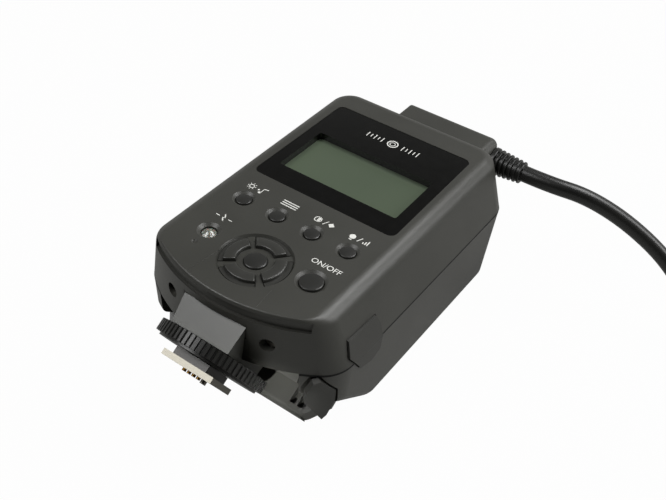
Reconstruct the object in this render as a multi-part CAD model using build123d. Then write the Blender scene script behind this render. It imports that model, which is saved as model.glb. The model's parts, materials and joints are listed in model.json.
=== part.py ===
from build123d import *
import math
import os

# Macro ring flash: a control unit with a hot-shoe foot, lying on its back, and a ring lamp
# on the far end of its cord. Millimetres. +Z out of the display face, +Y towards the cord end,
# +X to the right as the display is read. The origin is on the underside, where the unit rests.

os.makedirs("parts", exist_ok=True)

# Driving dimensions of the control unit
FACE_Z = 55.0               # height of the display face above the underside
PARTING_Z = 34.2            # height of the joint between the two shells
FOOT_Y = -59.2              # furthest point of the foot end, at the parting line
TOP_Y = 60.6                # cord end, at the parting line
HALF_TOP = 39.0             # half width at the parting line, cord end
FOOT_TAPER = 1.7            # how much narrower each side is at the foot end
FACE_IN_TOP = 9.6           # from the parting line in to the flat face, cord end
FACE_IN_FOOT = 9.3          # and at the foot end
HALF_FOOT = HALF_TOP - FOOT_TAPER
FLAT_HALF_TOP = HALF_TOP - FACE_IN_TOP
FLAT_HALF_FOOT = HALF_FOOT - FACE_IN_FOOT
FLAT_TOP_Y = 54.3           # where the flat face ends at the cord end
FOOT_ARC_R = 56.0           # plan radius of the foot end
EDGE_R = 4.9                # rounding between the face and the sides
FOOT_EDGE = 1.3             # how far the rounding reaches in at the foot end
SHOULDER_BACK = 0.8         # how far the face's foot edge stands behind the parting line
WALL_DRAFT = 15.0           # turn of the rounding where the upper side walls begin, degrees
WALL = 2.0                  # side wall of both shells
FACE_WALL = 2.6             # thickness behind the face
FOOT_CORNER_R = 12.0        # plan corner at the foot end, at the parting line
TOP_CORNER_R = 8.5          # plan corner at the cord end, at the parting line
FLAT_FOOT_CORNER_R = 5.0    # plan corner of the flat face, foot end
FLAT_TOP_CORNER_R = 4.0     # plan corner of the flat face, cord end
FLOOR_R = 5.0               # rounding between the underside and the sides
LOWER_DRAFT = 1.3           # how far the lower walls lean in over their height
RIM_STEPS = 5               # sections that a rounding is drawn through
CHAMFER_Y = -44.9           # a point of the slope that joins the foot end to the underside
CHAMFER_Z = 18.9
CHAMFER_SLOPE = 40.0        # degrees from the underside
CHAMFER_R = 14.0            # rounding between the slope and the underside
SLOPE_EDGE_R = 4.5          # rounding between the slope and the sides

# Clearances, shared by everything that fits
SEAT = 0.1                  # between a fixed piece and its seat
RUN = 0.15                  # round a key in its hole
TURN = 0.05                 # round a shaft that turns or slides
REST_GAP = 0.3              # between loose neighbours
OVER = 1.0                  # overrun of a cut
FAR = 200.0                 # larger than the control unit, for half-space cuts

# Hot-shoe foot: its axis leans from -Y towards the underside
SHOE_TILT = 31.0            # degrees
WHEEL_Y = -59.5             # middle of the lock wheel
WHEEL_Z = 28.8
WHEEL_R = 18.4
WHEEL_T = 4.6
WHEEL_RIBS = 66
RIB_DEPTH = 0.6
WHEEL_LIP = 0.8             # height of the plain lip under the ribs
WHEEL_LIP_R = 16.8
WHEEL_GAP = 0.3             # over and under the wheel
POST_R = 7.0                # post that the wheel turns on
NECK_HALF = 11.6            # half width of the neck inside the body
NECK_END_HALF = 10.5        # and at the wheel
NECK_REAR = 14.8            # from the shoe's axis to the neck's rear face, inside the body
NECK_END_REAR = 13.4
NECK_FRONT = 12.0           # from the axis to the neck's front face
NECK_DEPTH = 13.3           # how far the neck reaches back from the wheel's middle
NECK_FLANGE = 2.4           # flange that holds the neck inside the shells
NECK_FLANGE_RIM = 2.0
NOTCH_Y = -57.2             # flat spot of the wall where the neck comes out
NOTCH_Z0 = 43.0
NOTCH_Z1 = 48.4
PLATE_W = 18.6              # standard accessory foot
PLATE_L = 18.0
PLATE_T = 1.9
PLATE_MID = 5.9             # plate's middle, from the wheel's middle along the axis
PLATE_SHIFT = 1.3           # the plate's centre stands this much towards the face
PLATE_CHAMFER = 3.0
BLOCK_HALF = 6.2            # contact block between the plate's rails
LOCK_PIN_R = 1.0
LOCK_PIN_OFF = 4.9          # lock pin's place, towards the front
LOCK_PIN_OUT = 1.3          # how far the pin stands out of the plate
CONTACT_R = 0.7
CONTACT_OUT = 0.9
CONTACT_PITCH = 1.85
CONTACT_MID = -3.3          # middle of the row
CONTACT_COUNT = 4
CONTACT_BACK = 1.6          # the contact row's place, towards the face
FOOT_SCREW_R = 0.9
FOOT_SCREW_X = 3.7
FOOT_SCREW_BACK = 4.4

# Recess for the wheel, and the block with the round bar below it
RECESS_BACK = 10.2          # how far the recess reaches back from the wheel's middle
LEDGE = 19.0                # from the shoe's axis to the block
LEDGE_T = 5.0
LEDGE_OUT = 1.2             # how far the block stands out past the wheel's middle
BLOCK_END_X = 33.0          # half length of the block
BAR_R = 2.2                 # rounding of the block's outer edges
BAR_T = 2.9                 # bar left in front of the pockets
RAMP_OUT = 3.2              # where the recess's floor begins to rise, back from the wheel's middle
RAMP_TOP = -14.4            # its upper edge, from the shoe's axis towards the face
POCKET_X = 21.5             # where the pockets at the block's ends begin
POCKET_END_X = 27.0
POCKET_RIB_X = 23.6
POCKET_RIB_T = 0.8


def slab(x0, x1, y0, y1, z0, z1):
    return Pos((x0 + x1) / 2, (y0 + y1) / 2, (z0 + z1) / 2) * Box(x1 - x0, y1 - y0, z1 - z0)


def rounded_slab(x0, x1, y0, y1, z0, z1, radius):
    plan = Pos((x0 + x1) / 2, (y0 + y1) / 2, z0) * RectangleRounded(x1 - x0, y1 - y0, radius)
    return extrude(plan, z1 - z0)


def post(x, y, z0, z1, radius):
    return Pos(x, y, (z0 + z1) / 2) * Cylinder(radius, z1 - z0)


def rod_x(y, z, x0, x1, radius):
    return Pos((x0 + x1) / 2, y, z) * Rot(0, 90, 0) * Cylinder(radius, x1 - x0)


def rod_y(x, z, y0, y1, radius):
    return Pos(x, (y0 + y1) / 2, z) * Rot(90, 0, 0) * Cylinder(radius, y1 - y0)


def dish(x, y, top_z, depth, top_r, bottom_r):
    """a shallow bowl cut, its rim at top_z"""
    slope = (top_r - bottom_r) / depth
    tall = depth + OVER
    return Pos(x, y, top_z - depth + tall / 2) * Cone(bottom_r, bottom_r + slope * tall, tall)


def save(node, *pieces):
    solids = [solid for piece in pieces for solid in piece.solids()]
    whole = solids[0] if len(solids) == 1 else Compound(solids)
    whole.label = node
    export_step(whole, f"parts/{node}.step")
    return solids


# Outer form of the two shells: outlines in plan, joined by lofts


def outline_at(z, half_foot, half_top, foot_y, top_y, arc_r, foot_corner, top_corner):
    side_y = foot_y + arc_r - math.sqrt(arc_r**2 - half_foot**2)
    with BuildSketch(Plane.XY.offset(z)) as plan:
        with BuildLine():
            Line((half_foot, side_y), (half_top, top_y))
            Line((half_top, top_y), (-half_top, top_y))
            Line((-half_top, top_y), (-half_foot, side_y))
            ThreePointArc((-half_foot, side_y), (0, foot_y), (half_foot, side_y))
        make_face()
        fillet(plan.vertices().sort_by(Axis.Y)[:2], foot_corner)
        fillet(plan.vertices().sort_by(Axis.Y)[-2:], top_corner)
    return plan.sketch


def parting_outline(z=PARTING_Z, grow=0.0):
    return outline_at(
        z,
        HALF_FOOT + grow,
        HALF_TOP + grow,
        FOOT_Y - grow,
        TOP_Y + grow,
        FOOT_ARC_R + grow,
        FOOT_CORNER_R + grow,
        TOP_CORNER_R + grow,
    )


def rim_outline(angle, grow=0.0):
    """the outline where the face rounding has turned to this angle, 90 at the flat face"""
    out = math.cos(math.radians(angle))
    reach = EDGE_R * out + grow
    return outline_at(
        FACE_Z - EDGE_R + EDGE_R * math.sin(math.radians(angle)),
        FLAT_HALF_FOOT + reach,
        FLAT_HALF_TOP + reach,
        FOOT_Y + SHOULDER_BACK + FOOT_EDGE * (1 - out) - grow,
        FLAT_TOP_Y + reach,
        FOOT_ARC_R,
        FLAT_FOOT_CORNER_R + reach,
        FLAT_TOP_CORNER_R + reach,
    )


def floor_outline(angle, grow=0.0):
    """the outline where the underside rounding has turned to this angle, 90 at the underside"""
    inset = LOWER_DRAFT + FLOOR_R * (1 - math.cos(math.radians(angle)))
    return parting_outline(FLOOR_R - FLOOR_R * math.sin(math.radians(angle)), grow - inset)


def rim_angles(start):
    return [start + (90 - start) * step / RIM_STEPS for step in range(RIM_STEPS + 1)]


def upper_body(grow=0.0):
    wall = loft([parting_outline(grow=grow), rim_outline(WALL_DRAFT, grow)], ruled=True)
    rim = loft([rim_outline(angle, grow) for angle in rim_angles(WALL_DRAFT)])
    return wall + rim


def lower_body(grow=0.0):
    wall = loft([floor_outline(0, grow), parting_outline(grow=grow)], ruled=True)
    rim = loft([floor_outline(angle, grow) for angle in reversed(rim_angles(0))])
    return wall + rim


def slope_cut(sink=0.0):
    """everything under the slope at the foot end; sink moves it into the body"""
    lean = math.radians(CHAMFER_SLOPE)
    flat_y = CHAMFER_Y + CHAMFER_Z / math.tan(lean) + sink / math.sin(lean)
    top = (flat_y - FAR * math.cos(lean), FAR * math.sin(lean))
    with BuildSketch(Plane.YZ.offset(-FAR / 2)) as profile:
        with BuildLine():
            Polyline((flat_y + FAR, 0), (flat_y, 0), top, (top[0], -FAR), (flat_y + FAR, -FAR), close=True)
        make_face()
        nearest = min(profile.vertices(), key=lambda v: (v.X - flat_y) ** 2 + v.Y**2)
        fillet(nearest, CHAMFER_R)
    return extrude(profile.sketch, FAR)


def on_slope(edge):
    lean = math.radians(CHAMFER_SLOPE)
    drop = CHAMFER_Z * math.cos(lean) + CHAMFER_Y * math.sin(lean)
    spots = [edge @ share for share in (0, 0.5, 1)]
    return all(abs(p.Z * math.cos(lean) + p.Y * math.sin(lean) - drop) < REST_GAP for p in spots)


def sloped_form():
    """the lower body without what lies under the slope, the slope's edges rounded"""
    low_z = -CHAMFER_R
    inset = LOWER_DRAFT * (PARTING_Z - low_z) / (PARTING_Z - FLOOR_R)
    form = loft([parting_outline(low_z, SEAT - inset), parting_outline(grow=SEAT)], ruled=True)
    form -= slope_cut()
    edges = [edge for edge in form.edges() if on_slope(edge) and edge.center().Z > OVER / 2]
    return lower_body() & fillet(edges, SLOPE_EDGE_R)


# Planes of the hot-shoe foot

tilt = math.radians(SHOE_TILT)
WHEEL_AT = (0, WHEEL_Y, WHEEL_Z)
# x across, y towards the face, z out along the shoe's axis
shoe = Plane(origin=WHEEL_AT, x_dir=(1, 0, 0), z_dir=(0, -math.cos(tilt), -math.sin(tilt)))


def shoe_box(x0, x1, back0, back1, out0, out1):
    """a box in the shoe's own directions: across, towards the face, out along the axis"""
    return shoe * slab(x0, x1, back0, back1, out0, out1)


def shoe_post(x, back, out0, out1, radius):
    return shoe * post(x, back, out0, out1, radius)


# Cover over the power socket: a flat rubber plate on the foot end's right corner

COVER_IN = 4.3              # the cover's middle, in from the side
COVER_AT = (HALF_FOOT - COVER_IN, -47.5, 21.5)
COVER_OUT = (0.81, -0.57, -0.14)
COVER_ACROSS = (0.575, 0.818, 0.0)
COVER_HALF = 5.0            # half width
COVER_LONG = 11.4           # half length
COVER_T = 2.0
COVER_GAP = 0.7             # dark gap round the cover
COVER_POCKET = 3.2
POWER_SOCKET_R = 3.4
POWER_SOCKET_L = 9.0
cover_shares = [
    (-0.78, 0.95), (-1.16, 0.56), (-1.12, 0.10), (0.19, -1.0),
    (0.47, -0.83), (0.84, -0.13), (0.75, 0.39), (-0.40, 1.0),
]
cover_plane = Plane(origin=COVER_AT, x_dir=COVER_ACROSS, z_dir=COVER_OUT)


def cover_sketch(grow=0.0):
    outline = Polygon(*[(u * COVER_HALF, v * COVER_LONG) for u, v in cover_shares], align=None)
    return offset(outline, grow, kind=Kind.INTERSECTION) if grow else outline


def cover_prism(grow, low, high):
    return extrude(cover_plane.offset(low) * cover_sketch(grow), high - low)


def under_cover(grow):
    """the body's corner under the cover's lower half"""
    half = COVER_HALF + grow
    return cover_plane * slab(-half, half, -FAR, grow - COVER_LONG / 4, -COVER_POCKET - grow, FAR)


# Hollow of the shells

upper_core = Pos(0, 0, -FACE_WALL) * upper_body(-WALL)
lower_core = Pos(0, 0, WALL) * lower_body(-WALL) - slope_cut(WALL)

# Base shell's outer form, with the wheel's recess and the block below it

lower_form = sloped_form()
base = lower_form - under_cover(0)
block = shoe_box(-BLOCK_END_X, BLOCK_END_X, -LEDGE - LEDGE_T, -LEDGE, -NECK_DEPTH - WALL, LEDGE_OUT)
block = fillet(
    [e for e in block.edges().filter_by(Axis.X) if shoe.to_local_coords(e.center()).Z > 0], BAR_R
)
block = block & lower_body()
block -= cover_prism(COVER_HALF, -COVER_T - SEAT, FAR)
block -= mirror(cover_prism(COVER_HALF, -COVER_T - SEAT, FAR), Plane.YZ)
base += block
base -= shoe_box(-POCKET_END_X, POCKET_END_X, -LEDGE, FAR, -RECESS_BACK, FAR)
# the recess's floor rises from behind the wheel to its back wall
ramp_plane = Plane(origin=shoe.from_local_coords((-POCKET_X, 0, 0)), x_dir=shoe.y_dir, z_dir=shoe.x_dir)
ramp_points = [
    (-LEDGE - OVER, -RAMP_OUT), (-LEDGE - OVER, -RECESS_BACK - OVER), (RAMP_TOP, -RECESS_BACK - OVER),
    (RAMP_TOP, -RECESS_BACK), (-LEDGE, -RAMP_OUT),
]
base += extrude(ramp_plane * Polygon(*ramp_points, align=None), 2 * POCKET_X) & lower_form
for side in (-1, 1):
    x0, x1 = sorted((side * POCKET_X, side * POCKET_END_X))
    pocket = shoe_box(x0, x1, -LEDGE - LEDGE_T + WALL, FAR, -RECESS_BACK - WALL, LEDGE_OUT - BAR_T)
    r0, r1 = sorted((side * POCKET_RIB_X, side * (POCKET_RIB_X + POCKET_RIB_T)))
    rib = shoe_box(r0, r1, -FAR, -LEDGE / 2, -FAR, FAR)
    base -= pocket - rib
socket_box = (cover_prism(COVER_GAP + WALL, -COVER_POCKET - WALL, FAR) + under_cover(WALL)) & lower_form
socket_wall = socket_box & slab(0, FAR, -FAR, 0, 0, PARTING_Z)
recess_half = POCKET_END_X + WALL
recess_wall = shoe_box(-recess_half, recess_half, -LEDGE - LEDGE_T, FAR, -RECESS_BACK - WALL, FAR)
recess_wall = recess_wall & lower_form
base_solid = base
base_hollow = lower_core - socket_wall - recess_wall
for side in (-1, 1):
    x0, x1 = sorted((side * POCKET_X, side * POCKET_END_X))
    base_hollow -= shoe_box(x0 - WALL, x1 + WALL, -LEDGE - LEDGE_T, FAR, -RECESS_BACK - 2 * WALL, FAR)
base = base_solid - base_hollow
base -= cover_prism(COVER_GAP, -COVER_POCKET, FAR)
base -= cover_plane * post(0, 0, -FAR / 8, OVER, POWER_SOCKET_R + SEAT)

# Neck, post, plate and what they carry


def neck_taper(grow, out0, out1):
    def section(out):
        share = (out + NECK_DEPTH) / (NECK_DEPTH - WHEEL_T / 2)
        half = NECK_HALF + (NECK_END_HALF - NECK_HALF) * share + grow
        rear = NECK_REAR + (NECK_END_REAR - NECK_REAR) * share + grow
        front = NECK_FRONT + grow
        return shoe.offset(out) * Pos(0, (rear - front) / 2) * Rectangle(2 * half, rear + front)

    return loft([section(out0), section(out1)], ruled=True)


wheel_top = -WHEEL_T / 2
wheel_low = WHEEL_T / 2
block_low = PLATE_MID - PLATE_T / 2
plate_low = PLATE_MID + PLATE_T / 2
neck = neck_taper(0, -NECK_DEPTH, wheel_top - WHEEL_GAP)
neck += shoe_post(0, 0, wheel_top - WHEEL_GAP, wheel_low + WHEEL_GAP, POST_R)
flange_half = NECK_HALF + NECK_FLANGE_RIM
neck += shoe_box(
    -flange_half, flange_half, -NECK_FRONT, NECK_FRONT,
    -NECK_DEPTH - NECK_FLANGE, -RECESS_BACK - WALL - SEAT,
)
pin_bore = shoe_post(0, -LOCK_PIN_OFF, wheel_top, FAR, LOCK_PIN_R + TURN)
foot_screw_places = [(-FOOT_SCREW_X, FOOT_SCREW_BACK), (FOOT_SCREW_X, FOOT_SCREW_BACK)]
screw_bores = [
    shoe_post(x, back, wheel_top, plate_low + OVER, FOOT_SCREW_R) for x, back in foot_screw_places
]
neck = neck - pin_bore
for bore in screw_bores:
    neck -= bore
shell_neck_cut = neck_taper(SEAT, -NECK_DEPTH - OVER, OVER)
neck_notch = slab(-NECK_HALF - SEAT, NECK_HALF + SEAT, FOOT_Y - OVER, NOTCH_Y, NOTCH_Z0, NOTCH_Z1)

rib_shares = [(-0.32, 0), (0.18, 0), (0.32, 1), (0.54, 1)]  # share of a rib's turn, share of its depth
wheel_sides = []
for rib in range(WHEEL_RIBS):
    for turn, sunk in rib_shares:
        angle = 2 * math.pi * (rib + turn) / WHEEL_RIBS
        radius = WHEEL_R - RIB_DEPTH * sunk
        wheel_sides.append((radius * math.cos(angle), radius * math.sin(angle)))
wheel = extrude(shoe.offset(wheel_top) * Polygon(*wheel_sides, align=None), WHEEL_T - WHEEL_LIP)
wheel += shoe_post(0, 0, wheel_low - WHEEL_LIP - OVER, wheel_low, WHEEL_LIP_R)
wheel -= shoe_post(0, 0, wheel_top - OVER, wheel_low + OVER, POST_R + TURN)

plate_outline = Pos(0, PLATE_SHIFT) * Rectangle(PLATE_W, PLATE_L)
plate_front = plate_outline.vertices().sort_by(Axis.Y)[:2]
plate = extrude(shoe.offset(block_low) * chamfer(plate_front, PLATE_CHAMFER), PLATE_T)
contact_block = shoe_box(
    -BLOCK_HALF, BLOCK_HALF, PLATE_SHIFT - PLATE_L / 2 + PLATE_CHAMFER, PLATE_SHIFT + PLATE_L / 2 - SEAT,
    wheel_low + WHEEL_GAP, block_low,
)
contact_places = [
    (CONTACT_MID + (index - (CONTACT_COUNT - 1) / 2) * CONTACT_PITCH, -CONTACT_BACK)
    for index in range(CONTACT_COUNT)
]
contacts = [shoe_post(x, back, block_low, plate_low + CONTACT_OUT, CONTACT_R) for x, back in contact_places]
for cut in (pin_bore, *screw_bores):
    plate -= cut
    contact_block -= cut
for contact in contacts:
    plate -= contact
lock_pin = shoe_post(0, -LOCK_PIN_OFF, wheel_low - WHEEL_GAP, plate_low + LOCK_PIN_OUT, LOCK_PIN_R)
foot_screws = [
    shoe_post(x, back, wheel_top + OVER, plate_low, FOOT_SCREW_R) for x, back in foot_screw_places
]
save("foot_neck", neck)
save("lock_wheel", wheel)
save("shoe_plate", plate)
save("contact_block", contact_block)
save("contact_pins", *contacts)
save("lock_pin", lock_pin)
save("foot_screws", *foot_screws)
base -= shell_neck_cut
flange_room = flange_half + SEAT
base -= shoe_box(-flange_room, flange_room, -NECK_FRONT - SEAT, FAR, -FAR / 2, -RECESS_BACK - WALL)

# Battery bay, its door on the left side, and the cells

CELL_R = 7.25               # AA cell
CELL_L = 50.5
CELL_IN = 12.9              # from the side in to the axis of the outer cells
CELL_X = HALF_FOOT - CELL_IN
CELL_Z = 11.3               # axis of the lower cells
CELL_STEP = 14.8
BAY_Y = 4.3                 # middle of the bay
SPRING_ROOM = 3.05          # room for a spring at each end of a cell
TRAY_T = 1.4                # wall of the tray
BAY_Y0 = BAY_Y - CELL_L / 2 - SPRING_ROOM
BAY_Y1 = BAY_Y + CELL_L / 2 + SPRING_ROOM
DOOR_Y0 = -43.5
DOOR_Y1 = BAY_Y1 + TRAY_T
DOOR_Z0 = 7.0
DOOR_Z1 = 38.4
DOOR_T = 1.8
DOOR_GAP = 0.35
DOOR_CORNER_R = 3.0
HINGE_IN = 2.7              # from the side in to the door's upright hinge, at its far end
HINGE_X = -HALF_TOP + HINGE_IN
HINGE_R = 1.3
HINGE_PIN_R = 0.6
HINGE_WAY = 3.5             # room for the door's edge as it turns
KNUCKLE_L = 6.0


def door_prism(grow):
    y0, y1 = DOOR_Y0 - grow, DOOR_Y1 + grow
    z0, z1 = DOOR_Z0 - grow, DOOR_Z1 + grow
    with BuildSketch(Plane.YZ.offset(-FAR / 2)) as face:
        with Locations(((y0 + y1) / 2, (z0 + z1) / 2)):
            Rectangle(y1 - y0, z1 - z0)
        fillet(face.vertices().sort_by(Axis.Y)[-2:], DOOR_CORNER_R + grow)
    return extrude(face.sketch, FAR / 2 - CELL_X - CELL_R)


door = door_prism(0) & (upper_body() + lower_form)
door -= (upper_body(-DOOR_T) + lower_body(-DOOR_T)) & slab(-FAR, 0, -FAR, FAR, 0, FACE_Z - EDGE_R)
knuckles = [DOOR_Z0 + KNUCKLE_L, PARTING_Z - KNUCKLE_L]
for middle in knuckles:
    door += post(HINGE_X, DOOR_Y1, middle - KNUCKLE_L / 2, middle + KNUCKLE_L / 2, HINGE_R)
door -= post(HINGE_X, DOOR_Y1, 0, FACE_Z, HINGE_PIN_R + TURN)
door_pin = post(HINGE_X, DOOR_Y1, DOOR_Z0 - DOOR_GAP - WALL, DOOR_Z1 + DOOR_GAP + WALL, HINGE_PIN_R)
door_groove = post(HINGE_X, DOOR_Y1, DOOR_Z0 - DOOR_GAP, DOOR_Z1 + DOOR_GAP, HINGE_WAY)
door_room = door_prism(DOOR_GAP) + door_groove
save("battery_door", door)
save("door_hinge_pin", door_pin)
cells = []
for column in range(2):
    for row in range(2):
        cells.append(
            rod_y(
                -CELL_X + column * CELL_STEP, CELL_Z + row * CELL_STEP,
                (BAY_Y0 + BAY_Y1 - CELL_L) / 2, (BAY_Y0 + BAY_Y1 + CELL_L) / 2, CELL_R,
            )
        )
save("battery_cells", *cells)
bay_x1 = -CELL_X + CELL_STEP + CELL_R + REST_GAP
bay_z0 = CELL_Z - CELL_R - REST_GAP
bay_z1 = CELL_Z + CELL_STEP + CELL_R + REST_GAP
bay_x0 = -CELL_X - CELL_R
tray = slab(bay_x0, bay_x1 + TRAY_T, BAY_Y0 - TRAY_T, BAY_Y1 + TRAY_T, WALL + SEAT, bay_z1)
tray -= slab(bay_x0 - OVER, bay_x1, BAY_Y0, BAY_Y1, bay_z0, bay_z1 + OVER)
tray = (tray & Pos(0, 0, WALL + SEAT) * lower_body(-WALL - SEAT)) - slope_cut(WALL + SEAT)
save("battery_tray", tray)
CONTACT_T = 0.5
CONTACT_HALF = 5.0
springs = []
cell_end_0 = (BAY_Y0 + BAY_Y1 - CELL_L) / 2
cell_end_1 = (BAY_Y0 + BAY_Y1 + CELL_L) / 2
for column in range(2):
    for row in range(2):
        x, z = -CELL_X + column * CELL_STEP, CELL_Z + row * CELL_STEP
        for wall_y, cell_y in ((BAY_Y0, cell_end_0 - REST_GAP), (BAY_Y1, cell_end_1 + REST_GAP)):
            way = 1 if cell_y > wall_y else -1
            y0, y1 = sorted((wall_y, wall_y + way * CONTACT_T))
            spring = slab(x - CONTACT_HALF, x + CONTACT_HALF, y0, y1, z - CONTACT_HALF, z + CONTACT_HALF)
            y0, y1 = sorted((wall_y, cell_y))
            springs.append(spring + rod_y(x, z, y0, y1, CONTACT_HALF / 2))
save("battery_contacts", *springs)

# Sync socket and its cover on the right side, across the joint of the shells

SYNC_Y = -33.0
SYNC_R = 3.2
SYNC_L = 9.0
FLAP_T = 1.0                # cover's thickness inside the wall
FLAP_PROUD = 0.7
FLAP_GAP = 0.35
flap_points = [
    (-41.0, 37.5), (-35.0, 28.8), (-28.8, 26.6), (-24.4, 28.4),
    (-24.4, 38.9), (-26.0, 42.6), (-40.3, 43.4),
]


def flap_prism(grow):
    outline = offset(Polygon(*flap_points, align=None), grow, kind=Kind.INTERSECTION) if grow else Polygon(
        *flap_points, align=None
    )
    return extrude(Plane.YZ.offset(HALF_FOOT / 2) * outline, FAR)


flap = flap_prism(0) & (upper_body(FLAP_PROUD) + lower_body(FLAP_PROUD))
flap -= upper_body(-FLAP_T) + lower_body(-FLAP_T)
flap_recess = flap_prism(FLAP_GAP) - (upper_body(-FLAP_T - SEAT) + lower_body(-FLAP_T - SEAT))
flap_hinge_y = max(y for y, z in flap_points) + FLAP_GAP / 2
flap_hinge_x = flap.bounding_box().max.X
save("sync_port_cover", flap)
sync_x1 = HALF_FOOT - FLAP_T - WALL / 2
sync_socket = rod_x(SYNC_Y, PARTING_Z, sync_x1 - SYNC_L, sync_x1, SYNC_R)
sync_socket -= rod_x(SYNC_Y, PARTING_Z, sync_x1 - SYNC_L / 2, sync_x1 + OVER, SYNC_R - WALL / 2)
sync_socket += rod_x(SYNC_Y, PARTING_Z, sync_x1 - SYNC_L, sync_x1 - OVER, SYNC_R / 4)
sync_hole = rod_x(SYNC_Y, PARTING_Z, sync_x1 - SYNC_L - OVER, FAR / 2, SYNC_R + SEAT)
save("sync_socket", sync_socket)

# Power socket and its cover

power_cover = cover_prism(0, -COVER_T, 0)
save("power_port_cover", power_cover)
power_socket = cover_plane * post(0, 0, -COVER_POCKET - POWER_SOCKET_L, -COVER_T - REST_GAP, POWER_SOCKET_R)
power_socket -= cover_plane * post(0, 0, -COVER_POCKET - POWER_SOCKET_L / 2, 0, POWER_SOCKET_R - WALL / 2)
power_socket += cover_plane * post(0, 0, -COVER_POCKET - POWER_SOCKET_L, -COVER_POCKET, POWER_SOCKET_R / 4)
save("power_socket", power_socket)

# Screws that hold the shells together, from the underside

BOSS_R = 3.4
SCREW_R = 1.2
SCREW_HEAD_R = 2.3
SCREW_HEAD_T = 1.6
SCREW_SINK = 2.2
SCREW_TOP = 44.0
POWER_BOARD_Z = 31.0
STANDOFF_R = 2.5
boss_places = [(31.0, 50.0), (-31.0, 50.0), (31.0, -17.0)]
standoff_places = [(0.0, 52.0), (22.0, 52.0)]
for x, y in boss_places:
    base += post(x, y, 0, PARTING_Z, BOSS_R)
for x, y in standoff_places:
    base += post(x, y, WALL / 2, POWER_BOARD_Z - SEAT, STANDOFF_R)
for x, y in boss_places:
    base -= post(x, y, -OVER, PARTING_Z + OVER, SCREW_R + SEAT)
    base -= post(x, y, -OVER, SCREW_SINK + SCREW_HEAD_T, SCREW_HEAD_R + SEAT)
screws = [
    post(x, y, SCREW_SINK, SCREW_SINK + SCREW_HEAD_T - SEAT, SCREW_HEAD_R)
    + post(x, y, SCREW_SINK, SCREW_TOP, SCREW_R)
    for x, y in boss_places
]
save("shell_screws", *screws)

base -= door_room
base -= door_pin
base -= slab(bay_x0, bay_x1, BAY_Y0, BAY_Y1, bay_z0, PARTING_Z + OVER)
base -= flap_recess
base -= sync_hole
base = base & slab(-FAR, FAR, -FAR, FAR, -FAR, PARTING_Z)
save("base_shell", max(base.solids(), key=lambda solid: solid.volume))
print("base shell", len(base.solids()), [round(s.volume, 1) for s in base.solids()], base.is_valid)

# Face shell: openings, dishes and what shows on the face

PANEL_IN = 0.6              # from the flat face's side in to the display panel
PANEL_HALF = FLAT_HALF_FOOT - PANEL_IN
PANEL_Y0 = -5.6
PANEL_Y1 = 46.4
PANEL_R = 2.5
PANEL_T = 1.4
PANEL_DOWN = 0.15           # how far the panel lies below the face
WINDOW_IN = 4.4             # from the panel's side in to the window
WINDOW_W = 2 * (PANEL_HALF - WINDOW_IN)
WINDOW_H = 24.0
WINDOW_Y = 15.1
WINDOW_R = 0.8
SKIRT_T = 0.8               # lip of the panel that lines the window
GLASS_RIM = 2.0             # how far the glass reaches past the window
GLASS_W = WINDOW_W + 2 * GLASS_RIM
GLASS_H = WINDOW_H + 2 * GLASS_RIM
GLASS_T = 2.0
HOLDER_RIM = 2.0
BOARD_TOP = 49.3
BOARD_T = 1.6
BOARD_IN = 1.5              # from the flat face's side in to the board
BOARD_HALF = FLAT_HALF_FOOT - BOARD_IN
BOARD_Y0 = -45.5
BOARD_Y1 = 48.0
MAT_HALF = BOARD_HALF - BOARD_IN
MAT_Y0 = -45.0
MAT_Y1 = -14.0
KEY_TRAVEL = 0.5
KEY_FLANGE_T = 0.8
KEY_FLANGE_RIM = 0.8
FUNCTION_Y = -19.5
FUNCTION_PITCH = 13.35
FUNCTION_COUNT = 4
FUNCTION_R = 2.6
FUNCTION_DISH_R = 3.8
DISH_DEPTH = 0.8
FUNCTION_SINK = 0.1         # how far the key tops lie below the face
PILOT_X = -18.3
PILOT_Y = -38.3
PILOT_R = 2.5
POWER_X = 19.1
POWER_Y = -36.9
POWER_R = 3.7
POWER_DISH_R = 5.0
DIMPLE_Y = -44.9
DIMPLE_R = 1.0
PAD_X = 0.9
PAD_Y = -39.8
PAD_DISH_R = 11.7
PAD_R = 11.0                # outer radius of the four pad keys
PAD_IN_R = 5.9              # and inner radius
PAD_CENTRE_R = 3.6
PAD_PROUD = 0.5
PAD_WEB = 1.3               # web between the pad keys
GROOVE_Z0 = 50.6            # groove under the face's foot edge
GROOVE_Z1 = 53.9
GROOVE_DEPTH = 1.1
GROOVE_HALF = 29.0
END_SCREW_X = 17.9
END_SCREW_Z = 43.2
END_SCREW_R = 2.0
END_SCREW_Y = -53.9
END_SCREW_T = 1.5
END_SCREW_L = 5.5
END_BOSS_R = 3.8

key_under = FACE_Z - FACE_WALL
key_flange_top = key_under - SEAT
key_flange_low = key_flange_top - KEY_FLANGE_T
mat_top = key_flange_low - KEY_TRAVEL - SEAT


def round_key(x, y, radius, top):
    stem = post(x, y, key_flange_low, top, radius)
    return stem + post(x, y, key_flange_low, key_flange_top, radius + KEY_FLANGE_RIM)


def pad_sector(inner, outer, half_turn, way, z0, z1):
    """a ring sector about the pad's centre, pointing along way, in degrees"""
    steps = [math.radians(way - half_turn), math.radians(way), math.radians(way + half_turn)]
    far = [(PAD_X + outer * math.cos(t), PAD_Y + outer * math.sin(t)) for t in steps]
    near = [(PAD_X + inner * math.cos(t), PAD_Y + inner * math.sin(t)) for t in steps]
    with BuildSketch(Plane.XY.offset(z0)) as plan:
        with BuildLine():
            ThreePointArc(*far)
            Line(far[2], near[2])
            ThreePointArc(*reversed(near))
            Line(near[0], far[0])
        make_face()
    return extrude(plan.sketch, z1 - z0)


def pad_half_turn(radius, gap):
    """half the turn that a pad key takes at a radius, leaving the web and a gap"""
    return 45 - math.degrees((PAD_WEB / 2 + gap) / radius)


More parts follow.
